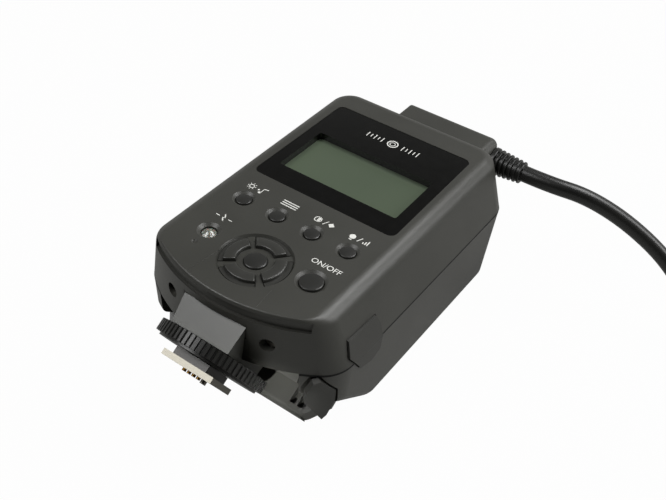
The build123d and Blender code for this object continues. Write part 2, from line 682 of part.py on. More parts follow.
face = upper_body() - upper_core
for x, y in boss_places:
    face += post(x, y, PARTING_Z, FACE_Z - WALL, BOSS_R) & upper_body()
for way in (-1, 1):
    boss_y1 = END_SCREW_Y + END_SCREW_T + END_SCREW_L
    end_boss = rod_y(way * END_SCREW_X, END_SCREW_Z, FOOT_Y, boss_y1, END_BOSS_R)
    face += end_boss & upper_body()
for x, y in boss_places:
    face -= post(x, y, PARTING_Z - OVER, SCREW_TOP + SEAT, SCREW_R + SEAT)
end_screws = []
for way in (-1, 1):
    x = way * END_SCREW_X
    head_end = END_SCREW_Y + END_SCREW_T
    face -= rod_y(x, END_SCREW_Z, FOOT_Y - OVER, head_end, END_SCREW_R + REST_GAP)
    face -= rod_y(x, END_SCREW_Z, FOOT_Y, head_end + END_SCREW_L - OVER, SCREW_R / 2 + SEAT)
    screw = rod_y(x, END_SCREW_Z, END_SCREW_Y, head_end, END_SCREW_R)
    screw += rod_y(x, END_SCREW_Z, END_SCREW_Y, head_end + END_SCREW_L - OVER - SEAT, SCREW_R / 2)
    screw -= slab(x - END_SCREW_R, x + END_SCREW_R, END_SCREW_Y - OVER, END_SCREW_Y + SCREW_R / 2,
                  END_SCREW_Z - SCREW_R / 4, END_SCREW_Z + SCREW_R / 4)
    end_screws.append(screw)
save("end_screws", *end_screws)

face -= rounded_slab(
    -PANEL_HALF, PANEL_HALF, PANEL_Y0, PANEL_Y1, FACE_Z - PANEL_T - PANEL_DOWN, FACE_Z + OVER, PANEL_R
)
window = (-WINDOW_W / 2, WINDOW_W / 2, WINDOW_Y - WINDOW_H / 2, WINDOW_Y + WINDOW_H / 2)
skirt = (window[0] - SKIRT_T, window[1] + SKIRT_T, window[2] - SKIRT_T, window[3] + SKIRT_T)
face -= rounded_slab(*skirt, key_under - OVER, FACE_Z + OVER, WINDOW_R + SKIRT_T)
panel_low = FACE_Z - PANEL_DOWN - PANEL_T + SEAT
panel = rounded_slab(
    -PANEL_HALF + SEAT, PANEL_HALF - SEAT, PANEL_Y0 + SEAT, PANEL_Y1 - SEAT,
    panel_low, FACE_Z - PANEL_DOWN, PANEL_R
)
panel += rounded_slab(
    skirt[0] + SEAT, skirt[1] - SEAT, skirt[2] + SEAT, skirt[3] - SEAT,
    key_under, FACE_Z - PANEL_DOWN - SEAT,
    WINDOW_R + SKIRT_T,
)
panel -= rounded_slab(*window, key_under - OVER, FACE_Z + OVER, WINDOW_R)
save("display_panel", panel)
glass_low = key_flange_top - GLASS_T
glass = slab(
    -GLASS_W / 2, GLASS_W / 2, WINDOW_Y - GLASS_H / 2, WINDOW_Y + GLASS_H / 2, glass_low, key_flange_top
)
save("lcd_glass", glass)
holder = slab(
    -GLASS_W / 2 - HOLDER_RIM, GLASS_W / 2 + HOLDER_RIM,
    WINDOW_Y - GLASS_H / 2 - HOLDER_RIM, WINDOW_Y + GLASS_H / 2 + HOLDER_RIM,
    BOARD_TOP + SEAT, key_flange_top,
)
holder -= slab(
    -GLASS_W / 2 - SEAT, GLASS_W / 2 + SEAT,
    WINDOW_Y - GLASS_H / 2 - SEAT, WINDOW_Y + GLASS_H / 2 + SEAT,
    glass_low - SEAT, FACE_Z,
)
save("lcd_holder", holder)

function_places = [
    ((index - (FUNCTION_COUNT - 1) / 2) * FUNCTION_PITCH, FUNCTION_Y) for index in range(FUNCTION_COUNT)
]
for number, (x, y) in enumerate(function_places, 1):
    face -= dish(x, y, FACE_Z, DISH_DEPTH, FUNCTION_DISH_R, FUNCTION_R + RUN)
    face -= post(x, y, key_under - OVER, FACE_Z, FUNCTION_R + RUN)
    save(f"function_button_{number}", round_key(x, y, FUNCTION_R, FACE_Z - FUNCTION_SINK))
face -= dish(PILOT_X, PILOT_Y, FACE_Z, DISH_DEPTH, FUNCTION_DISH_R, PILOT_R + RUN)
face -= post(PILOT_X, PILOT_Y, key_under - OVER, FACE_Z, PILOT_R + RUN)
pilot = round_key(PILOT_X, PILOT_Y, PILOT_R, FACE_Z)
pilot = fillet(pilot.edges().group_by(Axis.Z)[-1], PILOT_R / 3)
save("pilot_button", pilot)
face -= dish(POWER_X, POWER_Y, FACE_Z, DISH_DEPTH, POWER_DISH_R, POWER_R + RUN)
face -= post(POWER_X, POWER_Y, key_under - OVER, FACE_Z, POWER_R + RUN)
power = round_key(POWER_X, POWER_Y, POWER_R, FACE_Z)
save("power_button", power)
face -= dish(PILOT_X, DIMPLE_Y, FACE_Z, DIMPLE_R / 2, DIMPLE_R, DIMPLE_R / 2)

face -= dish(PAD_X, PAD_Y, FACE_Z, DISH_DEPTH, PAD_DISH_R, PAD_R + RUN)
face -= post(PAD_X, PAD_Y, key_under - OVER, FACE_Z + OVER, PAD_CENTRE_R + RUN)
for name, way in (("right", 0), ("up", 90), ("left", 180), ("down", 270)):
    slot_turn = pad_half_turn(PAD_IN_R, 0)
    slot = pad_sector(PAD_IN_R - RUN, PAD_R + RUN, slot_turn, way, key_under - OVER, FACE_Z + OVER)
    face -= slot
    key = pad_sector(PAD_IN_R, PAD_R, pad_half_turn(PAD_IN_R, RUN), way, key_flange_low, FACE_Z + PAD_PROUD)
    flange_turn = pad_half_turn(PAD_IN_R, -PAD_WEB / 4)
    key += pad_sector(
        PAD_IN_R - KEY_FLANGE_RIM, PAD_R + KEY_FLANGE_RIM, flange_turn, way, key_flange_low, key_flange_top
    )
    save(f"pad_key_{name}", key)
centre_key = post(PAD_X, PAD_Y, key_flange_low, FACE_Z, PAD_CENTRE_R)
centre_key += post(PAD_X, PAD_Y, key_flange_low, key_flange_top, PAD_CENTRE_R + KEY_FLANGE_RIM)
save("pad_centre_key", centre_key)

groove_ring = outline_at(
    GROOVE_Z0, FLAT_HALF_FOOT + EDGE_R, FLAT_HALF_TOP + EDGE_R, FOOT_Y + SHOULDER_BACK + GROOVE_DEPTH,
    FLAT_TOP_Y, FOOT_ARC_R, FLAT_FOOT_CORNER_R + EDGE_R, FLAT_TOP_CORNER_R + EDGE_R,
)
face -= slab(-GROOVE_HALF, GROOVE_HALF, FOOT_Y - OVER, 0, GROOVE_Z0, GROOVE_Z1) - extrude(
    groove_ring, GROOVE_Z1 - GROOVE_Z0
)

board = slab(-BOARD_HALF, BOARD_HALF, BOARD_Y0, BOARD_Y1, BOARD_TOP - BOARD_T, BOARD_TOP)
save("main_board", board)
mat = slab(-MAT_HALF, MAT_HALF, MAT_Y0, MAT_Y1, BOARD_TOP + SEAT, mat_top)
save("keypad_mat", mat)
CHIP_T = 1.6
chip_shares = [
    (-0.45, 0.30, 0.45, 0.28), (0.40, 0.45, 0.32, 0.20),
    (0.50, -0.10, 0.20, 0.14), (-0.5, -0.45, 0.24, 0.12),
]
chips = []
for u, v, across, along in chip_shares:
    x, y = u * BOARD_HALF, v * BOARD_Y1
    half_x, half_y = across * BOARD_HALF / 2, along * BOARD_Y1 / 2
    chip_top = BOARD_TOP - BOARD_T
    chips.append(slab(x - half_x, x + half_x, y - half_y, y + half_y, chip_top - CHIP_T, chip_top))
save("board_chips", *chips)

# Inside the body behind the board: flash capacitor, power board and transformer

CAP_R = 12.0
CAP_L = 44.0
CAP_X = 17.5
CAP_Y0 = -4.0
POWER_BOARD_HALF = 26.0
POWER_BOARD_GAP = 1.0       # from the tray to the board
POWER_BOARD_Y0 = BAY_Y1 + TRAY_T + POWER_BOARD_GAP
POWER_BOARD_Y1 = 56.0
TRANSFORMER = 17.0
TRANSFORMER_X = -15.0
TRANSFORMER_Y = (POWER_BOARD_Y0 + POWER_BOARD_Y1) / 2
capacitor = rod_y(CAP_X, WALL + SEAT + CAP_R, CAP_Y0, CAP_Y0 + CAP_L, CAP_R)
save("flash_capacitor", capacitor)
power_board = slab(
    -POWER_BOARD_HALF, POWER_BOARD_HALF, POWER_BOARD_Y0, POWER_BOARD_Y1,
    POWER_BOARD_Z, POWER_BOARD_Z + BOARD_T
)
save("power_board", power_board)
transformer = slab(
    TRANSFORMER_X - TRANSFORMER / 2, TRANSFORMER_X + TRANSFORMER / 2,
    TRANSFORMER_Y - TRANSFORMER / 2, TRANSFORMER_Y + TRANSFORMER / 2,
    POWER_BOARD_Z - TRANSFORMER, POWER_BOARD_Z,
)
save("transformer", transformer)

# Cable cover on the cord end, its grommet boot, and the way in for the cord

HUMP_X0 = -9.5
HUMP_X1 = 27.8
HUMP_Y1 = 70.2
HUMP_Z0 = 37.5
HUMP_Z1 = 52.6
HUMP_R = 3.2
HUMP_WALL = 1.2
NOTCH_X0 = 3.0
NOTCH_X1 = 8.0
NOTCH_DEPTH = 1.0
CORD_D = 6.0
CORD_Y = 65.5
CORD_Z = 45.4
BOOT_L = 12.4
BOOT_R = 5.1
BOOT_END_R = 4.1
BOOT_FLANGE_T = 1.6
BOOT_RIBS = 6
BOOT_NECK_R = 3.4
BOOT_ROOT_R = 3.7           # between the ribs
cover_in_y = FLAT_TOP_Y
hump = slab(HUMP_X0, HUMP_X1, cover_in_y, HUMP_Y1, HUMP_Z0, HUMP_Z1)
outer_edges = [
    e for e in hump.edges()
    if e.center().Y > cover_in_y + OVER / 2 and not (e.center().Y < HUMP_Y1 - OVER and e.center().X < 0)
]
hump = fillet(outer_edges, HUMP_R)
hollow = slab(
    HUMP_X0 + HUMP_WALL, HUMP_X1 - HUMP_WALL, cover_in_y, HUMP_Y1 - HUMP_WALL,
    HUMP_Z0 + HUMP_WALL, HUMP_Z1 - HUMP_WALL
)
hump -= hollow
hump -= upper_body(SEAT)
hump -= rod_x(CORD_Y, CORD_Z, HUMP_X1 - HUMP_WALL - OVER, HUMP_X1 + OVER, BOOT_NECK_R + SEAT)
hump -= slab(NOTCH_X0, NOTCH_X1, HUMP_Y1 - NOTCH_DEPTH, FAR, HUMP_Z1 - HUMP_R, FAR)
save("cable_cover", max(hump.solids(), key=lambda solid: solid.volume))
CORD_WAY_X0 = 2.0
CORD_WAY_X1 = 16.0
face -= slab(CORD_WAY_X0, CORD_WAY_X1, FLAT_TOP_Y - EDGE_R, FAR, CORD_Z - CORD_D / 2, CORD_Z + CORD_D / 2)


def boot_profile(length, big, small):
    """ribs along +X from 0, each falling back to a neck, smaller towards the end"""
    points = [(-HUMP_WALL - BOOT_FLANGE_T, CORD_D / 2), (-HUMP_WALL - BOOT_FLANGE_T, BOOT_NECK_R)]
    points += [(0, BOOT_NECK_R), (0, big), (BOOT_FLANGE_T, big)]
    step = (length - BOOT_FLANGE_T) / BOOT_RIBS
    for rib in range(BOOT_RIBS):
        start = BOOT_FLANGE_T + rib * step
        crest = big + (small - big) * (rib + 1) / BOOT_RIBS
        points += [(start, BOOT_ROOT_R), (start + step / 2, BOOT_ROOT_R)]
        points += [(start + step / 2, crest), (start + step, crest)]
    points.append((length, CORD_D / 2))
    return points


boot_face = Plane.XZ * Polygon(*boot_profile(BOOT_L, BOOT_R, BOOT_END_R), align=None)
boot = Pos(HUMP_X1 + SEAT, CORD_Y, CORD_Z) * revolve(boot_face, Axis.X)
save("cable_boot", boot)

face -= shell_neck_cut + neck_notch
face -= shoe_box(
    -flange_half - SEAT, flange_half + SEAT, -NECK_FRONT - SEAT, NECK_FRONT + SEAT,
    -NECK_DEPTH - NECK_FLANGE - SEAT, -RECESS_BACK - WALL,
)
face -= door_room
face -= door_pin
face -= flap_recess
face -= sync_hole
save("face_shell", max(face.solids(), key=lambda solid: solid.volume))
print("face shell", len(face.solids()), [round(s.volume, 1) for s in face.solids()], face.is_valid)

# Cord: the way to the coil, the coil, and the way on to the ring lamp

COIL_X = 162.0
COIL_Y = 20.7
COIL_OUT = 36.3             # centre of the cord at the coil's first top
CORD_STEP = 6.6             # from turn to turn, and from layer to layer
CORD_LIFT = 0.8             # room under the coil for its strap
cord_low = CORD_D / 2 + CORD_LIFT
coil_top_z = cord_low + CORD_STEP
boot_end = HUMP_X1 + SEAT + BOOT_L
coil_start = (COIL_X - CORD_D, COIL_Y + COIL_OUT, cord_low)
coil_bottoms = (COIL_OUT - CORD_STEP / 2, COIL_OUT - 3 * CORD_STEP / 2)
coil_tops = (COIL_OUT, COIL_OUT - CORD_STEP, COIL_OUT - CORD_STEP)
coil_end = (COIL_X + CORD_D, COIL_Y + coil_tops[2], coil_top_z)
to_coil = [
    (boot_end, CORD_Y, CORD_Z), (51, CORD_Y, CORD_Z), (64, 69.5, 44.2), (80, 74, 37.5), (97, 77.5, 26.5),
    (112, 74.5, 14.5), (125, 66.5, 6.1), (138, coil_start[1], cord_low), coil_start,
]
HEAD_BOOT_X = 208.0
HEAD_Y = 46.2
to_head = [
    coil_end, (181, coil_end[1], coil_top_z), (194.5, HEAD_Y, coil_top_z), (HEAD_BOOT_X, HEAD_Y, coil_top_z)
]
CORNER_SHARE = 0.45         # share of a run that its rounded corner takes


def corner_radii(points):
    spots = [Vector(*point) for point in points]
    radii = []
    for before, at, after in zip(spots, spots[1:], spots[2:]):
        turn = (at - before).get_angle(after - at)
        run = min((at - before).length, (after - at).length)
        radii.append(CORNER_SHARE * run / math.tan(math.radians(turn / 2)))
    return radii


def cord_tube(node, points):
    radii = corner_radii(points)
    path = FilletPolyline(*points, radius=radii)
    start = Plane(origin=points[0], z_dir=path % 0)
    tube = sweep(start * Circle(CORD_D / 2), path=path)
    want = math.pi * CORD_D**2 / 4 * path.length
    print(node, "radii", [round(r, 1) for r in radii], "volume share", round(tube.volume / want, 4))
    save(node, tube)
    return path.length


def coil_path():
    low, high = cord_low, coil_top_z
    spots = [
        (COIL_X, COIL_Y + coil_tops[0], low),
        (COIL_X, COIL_Y - coil_bottoms[0], low),
        (COIL_X, COIL_Y + coil_tops[1], low),
        (COIL_X, COIL_Y - coil_bottoms[1], high),
        (COIL_X, COIL_Y + coil_tops[2], high),
    ]
    pieces = [Line(coil_start, spots[0])]
    side = 1
    for here, there in zip(spots, spots[1:]):
        middle = [(a + b) / 2 for a, b in zip(here, there)]
        reach = math.dist(here, there) / 2
        pieces.append(ThreePointArc(here, (middle[0] + side * reach, middle[1], middle[2]), there))
        side = -side
    pieces.append(Line(spots[-1], coil_end))
    return Wire([edge for piece in pieces for edge in piece.edges()])


coil_wire = coil_path()
coil = sweep(Plane(origin=coil_start, z_dir=(1, 0, 0)) * Circle(CORD_D / 2), path=coil_wire)
print("cord_coil volume share", coil.volume / (math.pi * CORD_D**2 / 4 * coil_wire.length), coil.is_valid)
save("cord_coil", coil)
COIL_POINTS = 400
coil_spots = [coil_wire @ (index / COIL_POINTS) for index in range(COIL_POINTS + 1)]
apart = round(2 * math.pi * CORD_D / 2 / (coil_wire.length / COIL_POINTS)) + COIL_POINTS // 16
least = min(
    (coil_spots[i] - coil_spots[j]).length
    for i in range(COIL_POINTS + 1) for j in range(i + apart, COIL_POINTS + 1)
)
print("cord_coil least gap to itself", round(least - CORD_D, 2))
cord_length = cord_tube("cord_to_coil", to_coil) + coil_wire.length + cord_tube("cord_to_head", to_head)
print("cord length", round(cord_length, 1))

# Strap round the coil, at its bottom

STRAP_W = 8.0
STRAP_T = 0.6
STRAP_GAP = 0.1
strap_side = STRAP_GAP + STRAP_W**2 / (4 * coil_bottoms[1])
strap_y1 = COIL_Y - coil_bottoms[1] + CORD_D / 2 + strap_side
strap_y0 = COIL_Y - coil_bottoms[0] - CORD_D / 2 - STRAP_GAP
strap_z0 = cord_low - CORD_D / 2 - STRAP_GAP
strap_z1 = coil_top_z + CORD_D / 2 + STRAP_GAP
strap = rounded_slab(
    strap_y0 - STRAP_T, strap_y1 + STRAP_T, strap_z0 - STRAP_T, strap_z1 + STRAP_T, 0, STRAP_W, CORD_D / 4
)
strap -= rounded_slab(strap_y0, strap_y1, strap_z0, strap_z1, -OVER, STRAP_W + OVER, CORD_D / 4 - STRAP_T)
strap = Plane.YZ.offset(COIL_X - STRAP_W / 2) * strap
save("coil_tie", strap)

# Ring lamp, lying with its windows up

RING_R = 56.1
RING_T = 25.9
BORE_R = 29.0
BORE_L = 8.0
BORE_STEP = 3.0             # how much wider the bore is above the mount
RING_SPLIT = 12.0
RING_WALL = 2.0
BOSS_L = 14.1               # from the ring's outer edge to the boot
BOSS_W = 22.0
LIGHT_STEP = 6.0            # from the bore to a light window
LIGHT_IN = BORE_R + LIGHT_STEP
LIGHT_RIM = 5.1             # from a light window to the ring's outer edge
LIGHT_OUT = RING_R - LIGHT_RIM
LIGHT_TURN = 58.0           # half the turn that a light window takes, degrees
REFLECTOR_T = 1.0
REFLECTOR_D = 8.0
TUBE_R = 1.6
TUBE_MID = (LIGHT_IN + LIGHT_OUT) / 2
LAMP_R = 3.0
LAMP_MID = TUBE_MID
BUTTON_HALF = 9.0
BUTTON_PROUD = 2.4
BUTTON_IN = 9.0
BUTTON_Z0 = 3.2
BUTTON_Z1 = 10.0
CLAW_HALF = 4.0
CLAW_OUT = 1.0              # how far a claw stands into the bore
CLAW_L = 9.0
CLAW_Z0 = BORE_L + 2 * REST_GAP
CLAW_T = 2.8
CLAW_Z1 = CLAW_Z0 + CLAW_T
HEAD_SCREW_IN = 6.5         # from the ring's outer edge in to a screw
HEAD_SCREW_MID = RING_R - HEAD_SCREW_IN
HEAD_EDGE_R = 3.0
BOSS_TOP = 17.0             # height of the boss that the cord enters
head_x = HEAD_BOOT_X + BOOT_L + BOSS_L + RING_R


def at_head(shape):
    return Pos(head_x, HEAD_Y, 0) * shape


def head_ring(inner, outer, z0, z1):
    return at_head(post(0, 0, z0, z1, outer) - post(0, 0, z0 - OVER, z1 + OVER, inner))


def head_sector(inner, outer, half_turn, way, z0, z1):
    steps = [math.radians(way - half_turn), math.radians(way), math.radians(way + half_turn)]
    far = [(outer * math.cos(t), outer * math.sin(t)) for t in steps]
    near = [(inner * math.cos(t), inner * math.sin(t)) for t in steps]
    with BuildSketch(Plane.XY.offset(z0)) as plan:
        with BuildLine():
            ThreePointArc(*far)
            Line(far[2], near[2])
            ThreePointArc(*reversed(near))
            Line(near[0], far[0])
        make_face()
    return at_head(extrude(plan.sketch, z1 - z0))


bore_wide = BORE_R + BORE_STEP
inner_wall = bore_wide + RING_WALL
outer_wall = RING_R - RING_WALL
boss_x = -RING_R - BOSS_L


def head_turned(shape, degrees):
    return at_head(Rot(0, 0, degrees) * shape)


def head_boss(z0, z1, shrink=0.0):
    x_end = -(inner_wall + outer_wall) / 2
    half = BOSS_W / 2 - shrink
    block = slab(boss_x + shrink, x_end, -half, half, z0, z1)
    return at_head(block)


screw_turns = [15.0, 165.0, 195.0, 345.0]
rear = head_ring(BORE_R, RING_R, 0, RING_SPLIT)
front = head_ring(bore_wide, RING_R, RING_SPLIT + SEAT, RING_T)
front = fillet(front.edges().group_by(Axis.Z)[-1].sort_by(SortBy.LENGTH)[-1:], HEAD_EDGE_R)
rear += head_boss(0, RING_SPLIT) - at_head(post(0, 0, 0, RING_T, inner_wall))
front += head_boss(RING_SPLIT + SEAT, BOSS_TOP) - at_head(post(0, 0, 0, RING_T, inner_wall))
rear -= at_head(post(0, 0, BORE_L, RING_SPLIT + OVER, bore_wide))
rear -= head_ring(inner_wall, outer_wall, RING_WALL, RING_SPLIT + OVER)
front -= head_ring(inner_wall, outer_wall, RING_SPLIT - OVER, RING_T - RING_WALL)
rear -= head_boss(RING_WALL, RING_SPLIT + OVER, HUMP_WALL) - at_head(post(0, 0, 0, RING_T, inner_wall))
boss_room = head_boss(RING_SPLIT - OVER, BOSS_TOP - RING_WALL, HUMP_WALL)
front -= boss_room - at_head(post(0, 0, 0, RING_T, inner_wall))
boot_way = at_head(rod_x(0, coil_top_z, boss_x - OVER, boss_x + HUMP_WALL + OVER, BOOT_NECK_R + SEAT))
rear -= boot_way
front -= boot_way
head_screws = []
for turn in screw_turns:
    rear += head_turned(post(HEAD_SCREW_MID, 0, 0, RING_SPLIT, BOSS_R), turn)
    front += head_turned(post(HEAD_SCREW_MID, 0, RING_SPLIT + SEAT, RING_T - RING_WALL / 2, BOSS_R), turn)
for turn in screw_turns:
    bore = post(HEAD_SCREW_MID, 0, -OVER, RING_T - RING_WALL - OVER, SCREW_R + SEAT)
    rear -= head_turned(bore, turn)
    front -= head_turned(bore, turn)
    rear -= head_turned(post(HEAD_SCREW_MID, 0, -OVER, SCREW_SINK + SEAT, SCREW_HEAD_R + SEAT), turn)
    screw = post(HEAD_SCREW_MID, 0, SCREW_SINK - SCREW_HEAD_T + SEAT, SCREW_SINK + SEAT, SCREW_HEAD_R)
    screw += post(HEAD_SCREW_MID, 0, SCREW_SINK, RING_T - RING_WALL - OVER - SEAT, SCREW_R)
    head_screws.append(head_turned(screw, turn))
save("head_screws", *head_screws)
reflectors = []
tubes = []
for name, way in (("right", 90), ("left", 270)):
    front -= head_sector(LIGHT_IN, LIGHT_OUT, LIGHT_TURN, way, RING_T - RING_WALL - OVER, RING_T + OVER)
    window_gap = math.degrees(RUN / LIGHT_IN)
    diffuser = head_sector(
        LIGHT_IN + RUN, LIGHT_OUT - RUN, LIGHT_TURN - window_gap, way,
        RING_T - RING_WALL - SEAT, RING_T - SEAT,
    )
    save(f"diffuser_{name}", diffuser)
    rim_turn = LIGHT_TURN + math.degrees(REFLECTOR_T / LIGHT_IN)
    reflector_top = RING_T - RING_WALL - 2 * SEAT
    reflector = head_sector(
        LIGHT_IN - REFLECTOR_T + SEAT, LIGHT_OUT + REFLECTOR_T, rim_turn, way,
        reflector_top - REFLECTOR_D, reflector_top
    )
    reflector -= head_sector(
        LIGHT_IN + REFLECTOR_T, LIGHT_OUT - REFLECTOR_T, LIGHT_TURN - window_gap, way,
        reflector_top - REFLECTOR_D + REFLECTOR_T, RING_T,
    )
    reflectors.append(reflector)
    tube_turn = LIGHT_TURN - 3 * window_gap
    ends = [math.radians(way + share * tube_turn) for share in (-1, 0, 1)]
    tube_z = reflector_top - REFLECTOR_D + REFLECTOR_T + TUBE_R + REST_GAP
    tube_arc = ThreePointArc(*[
        (head_x + TUBE_MID * math.cos(t), HEAD_Y + TUBE_MID * math.sin(t), tube_z) for t in ends
    ])
    tubes.append(sweep(Plane(origin=tube_arc @ 0, z_dir=tube_arc % 0) * Circle(TUBE_R), path=tube_arc))
save("reflectors", *reflectors)
save("flash_tubes", *tubes)
lamps = []
for turn in (0, 180):
    front -= head_turned(post(LAMP_MID, 0, RING_T - RING_WALL - OVER, RING_T + OVER, LAMP_R + SEAT), turn)
    lamp = post(LAMP_MID, 0, BOSS_TOP, RING_T + OVER / 2, LAMP_R)
    lamp = fillet(lamp.edges().group_by(Axis.Z)[-1], LAMP_R / 3)
    lamps.append(head_turned(lamp, turn))
save("focus_lamps", *lamps)
board_top = BOSS_TOP - SEAT
boss_half = BOSS_W / 2 + OVER
head_board = head_ring(inner_wall + RING_WALL, LAMP_MID + LAMP_R, board_top - BOARD_T, board_top)
head_board -= at_head(slab(-RING_R, -inner_wall, -boss_half, boss_half, 0, RING_T)) & at_head(
    slab(-RING_R, -LAMP_MID - LAMP_R, -RING_R, RING_R, 0, RING_T)
)
for reflector in reflectors:
    box = reflector.bounding_box()
    board_y0, board_y1 = box.min.Y - HEAD_Y, box.max.Y - HEAD_Y
    head_board -= at_head(slab(-RING_R, RING_R, board_y0, board_y1, 0, RING_T))
for turn in screw_turns:
    head_board -= head_turned(post(HEAD_SCREW_MID, 0, 0, RING_T, BOSS_R + SEAT), turn)
save("head_board", *head_board.solids())
for name, turn in (("right", 90), ("left", 270)):
    key = slab(RING_R - BUTTON_IN, RING_R + BUTTON_PROUD, -BUTTON_HALF, BUTTON_HALF, BUTTON_Z0, BUTTON_Z1)
    key = key & post(0, 0, 0, RING_T, RING_R + BUTTON_PROUD)
    key += slab(
        RING_R - BUTTON_IN, outer_wall - WALL, -BUTTON_HALF - WALL, BUTTON_HALF + WALL, BUTTON_Z0, BUTTON_Z1
    )
    save(f"release_button_{name}", head_turned(key, turn))
    key_way = slab(
        outer_wall - WALL, RING_R + OVER, -BUTTON_HALF - REST_GAP, BUTTON_HALF + REST_GAP,
        BUTTON_Z0 - REST_GAP, BUTTON_Z1 + REST_GAP,
    )
    rear -= head_turned(key_way, turn)
    claw = slab(BORE_R - CLAW_OUT, BORE_R - CLAW_OUT + CLAW_L, -CLAW_HALF, CLAW_HALF, CLAW_Z0, CLAW_Z1)
    save(f"claw_{name}", head_turned(claw, turn))
    claw_way = slab(
        0, inner_wall + OVER, -CLAW_HALF - REST_GAP, CLAW_HALF + REST_GAP,
        CLAW_Z0 - REST_GAP, RING_SPLIT + OVER
    )
    rear -= head_turned(claw_way, turn)
save("head_rear_shell", rear)
save("head_front_shell", front)
head_boot = Pos(head_x + boss_x - SEAT, HEAD_Y, coil_top_z) * Rot(0, 0, 180) * revolve(boot_face, Axis.X)
save("head_boot", head_boot)
print("head", round(head_x, 2), "rear", len(rear.solids()), rear.is_valid)
print("head front", len(front.solids()), front.is_valid)
print("flap hinge", round(flap_hinge_x, 2), round(flap_hinge_y, 2), "boot end", boot_end)
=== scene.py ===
# %% [markdown]
# A macro ring flash. Its control unit lies on its back with the hot-shoe foot towards the
# camera, and its cord runs behind it to a neat coil and on to the ring lamp. The solids come
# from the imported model. This lesson gives them finishes, and makes anew the pieces that need
# softer edges or finer detail than the solids have.

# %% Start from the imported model
import bmesh
import bpy
import json
import math
from mathutils import Matrix, Vector


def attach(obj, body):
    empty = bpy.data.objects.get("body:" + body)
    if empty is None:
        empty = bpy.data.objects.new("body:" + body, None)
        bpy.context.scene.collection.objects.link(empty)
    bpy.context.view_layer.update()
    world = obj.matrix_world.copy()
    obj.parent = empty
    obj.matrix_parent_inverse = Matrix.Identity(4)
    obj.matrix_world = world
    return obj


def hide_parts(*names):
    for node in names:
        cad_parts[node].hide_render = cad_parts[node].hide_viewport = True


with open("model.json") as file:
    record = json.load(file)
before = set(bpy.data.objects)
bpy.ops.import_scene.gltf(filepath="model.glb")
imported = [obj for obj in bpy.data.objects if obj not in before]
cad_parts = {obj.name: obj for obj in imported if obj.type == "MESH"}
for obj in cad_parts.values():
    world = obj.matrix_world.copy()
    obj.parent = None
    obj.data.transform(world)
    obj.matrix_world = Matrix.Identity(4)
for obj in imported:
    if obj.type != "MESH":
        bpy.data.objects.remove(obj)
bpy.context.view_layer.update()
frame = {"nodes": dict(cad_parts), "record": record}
MM = 0.001

# %% [markdown]
# Lengths are easier to read in millimetres, but Blender's scene here is in metres. Two small
# helpers turn a point, or a whole list of points, and a third puts a new object in the scene.


# %% Millimetres and new objects
def at(x, y, z):
    return Vector((x, y, z)) * MM


def all_at(points):
    return [at(*point) for point in points]


def into_scene(name, data):
    thing = bpy.data.objects.new(name, data)
    bpy.context.scene.collection.objects.link(thing)
    return thing


# %% [markdown]
# The camera stands in front of the foot, to the right and well above it, as a hand-held view
# of the display would. Its place and its three directions are given, and its lens makes the
# control unit fill most of the picture.

# %% Camera
CAMERA_AT = at(115.9, -186.2, 225.2)
CAMERA_RIGHT = Vector((0.8195, 0.5688, 0.0693))
CAMERA_UP = Vector((-0.4215, 0.5164, 0.7454))
CAMERA_BACK = Vector((0.3882, -0.6401, 0.6630))
LENS, SENSOR = 46.22, 36  # mm
NEAREST = 0.01  # m, the closest that the camera sees
camera = into_scene("camera", bpy.data.cameras.new("camera"))
camera.data.lens = LENS
camera.data.sensor_width = SENSOR
camera.data.clip_start = NEAREST
turn = Matrix((CAMERA_RIGHT, CAMERA_UP, CAMERA_BACK)).transposed().to_4x4()
camera.matrix_world = Matrix.Translation(CAMERA_AT) @ turn
bpy.context.scene.camera = camera
bpy.context.scene.view_settings.view_transform = "Standard"
print("camera", [round(value, 3) for value in camera.location])

# %% [markdown]
# Every finish is a small tree of shader nodes. One function adds a node with its settings and
# its links, and another turns a colour picked from a screen, which is sRGB, into the linear
# numbers that light needs.


# %% Node and colour helpers
def linear(hex_colour, strength=1.0):
    parts = [int(hex_colour[i:i + 2], 16) / 255 for i in (1, 3, 5)]
    parts = [c / 12.92 if c <= 0.04045 else ((c + 0.055) / 1.055) ** 2.4 for c in parts]
    return (*[c * strength for c in parts], 1.0)


def add(tree, kind, settings=None, links=None):
    node = tree.nodes.new(kind)
    for name, value in (settings or {}).items():
        if isinstance(name, int) or name in node.inputs:
            node.inputs[name].default_value = value
        else:
            setattr(node, name, value)
    for name, source in (links or {}).items():
        tree.links.new(source, node.inputs[name])
    return node


def new_finish(name):
    finish = bpy.data.materials.new(name)
    finish.use_nodes = True
    finish.node_tree.nodes.clear()
    return finish, finish.node_tree


def finish_off(tree, shader):
    add(tree, "ShaderNodeOutputMaterial", links={"Surface": shader.outputs[0]})


def two_tone(tree, source, first, last, ends=(0.0, 1.0)):
    """a ramp from one sRGB colour to another, between two values of the source"""
    ramp = add(tree, "ShaderNodeValToRGB", links={"Fac": source})
    for stop, colour, position in zip(ramp.color_ramp.elements, (first, last), ends):
        stop.color = linear(colour)
        stop.position = position
    return ramp


# %% [markdown]
# Moulded plastic takes the texture of its steel mould. A spark-eroded mould leaves a grain of
# about 0.2 mm: fine noise for the bump, and the same noise makes the roughness uneven. A second,
# much broader noise shifts the colour a little, as handling does. Many parts here are that
# plastic with other numbers, so one function makes them all.

# %% Moulded plastic
PLASTIC_IOR = 1.5
PATCHES = 45.0  # of handling, per metre: each is about 22 mm wide
UNEVEN = 0.05  # how far the grain moves the roughness, up and down


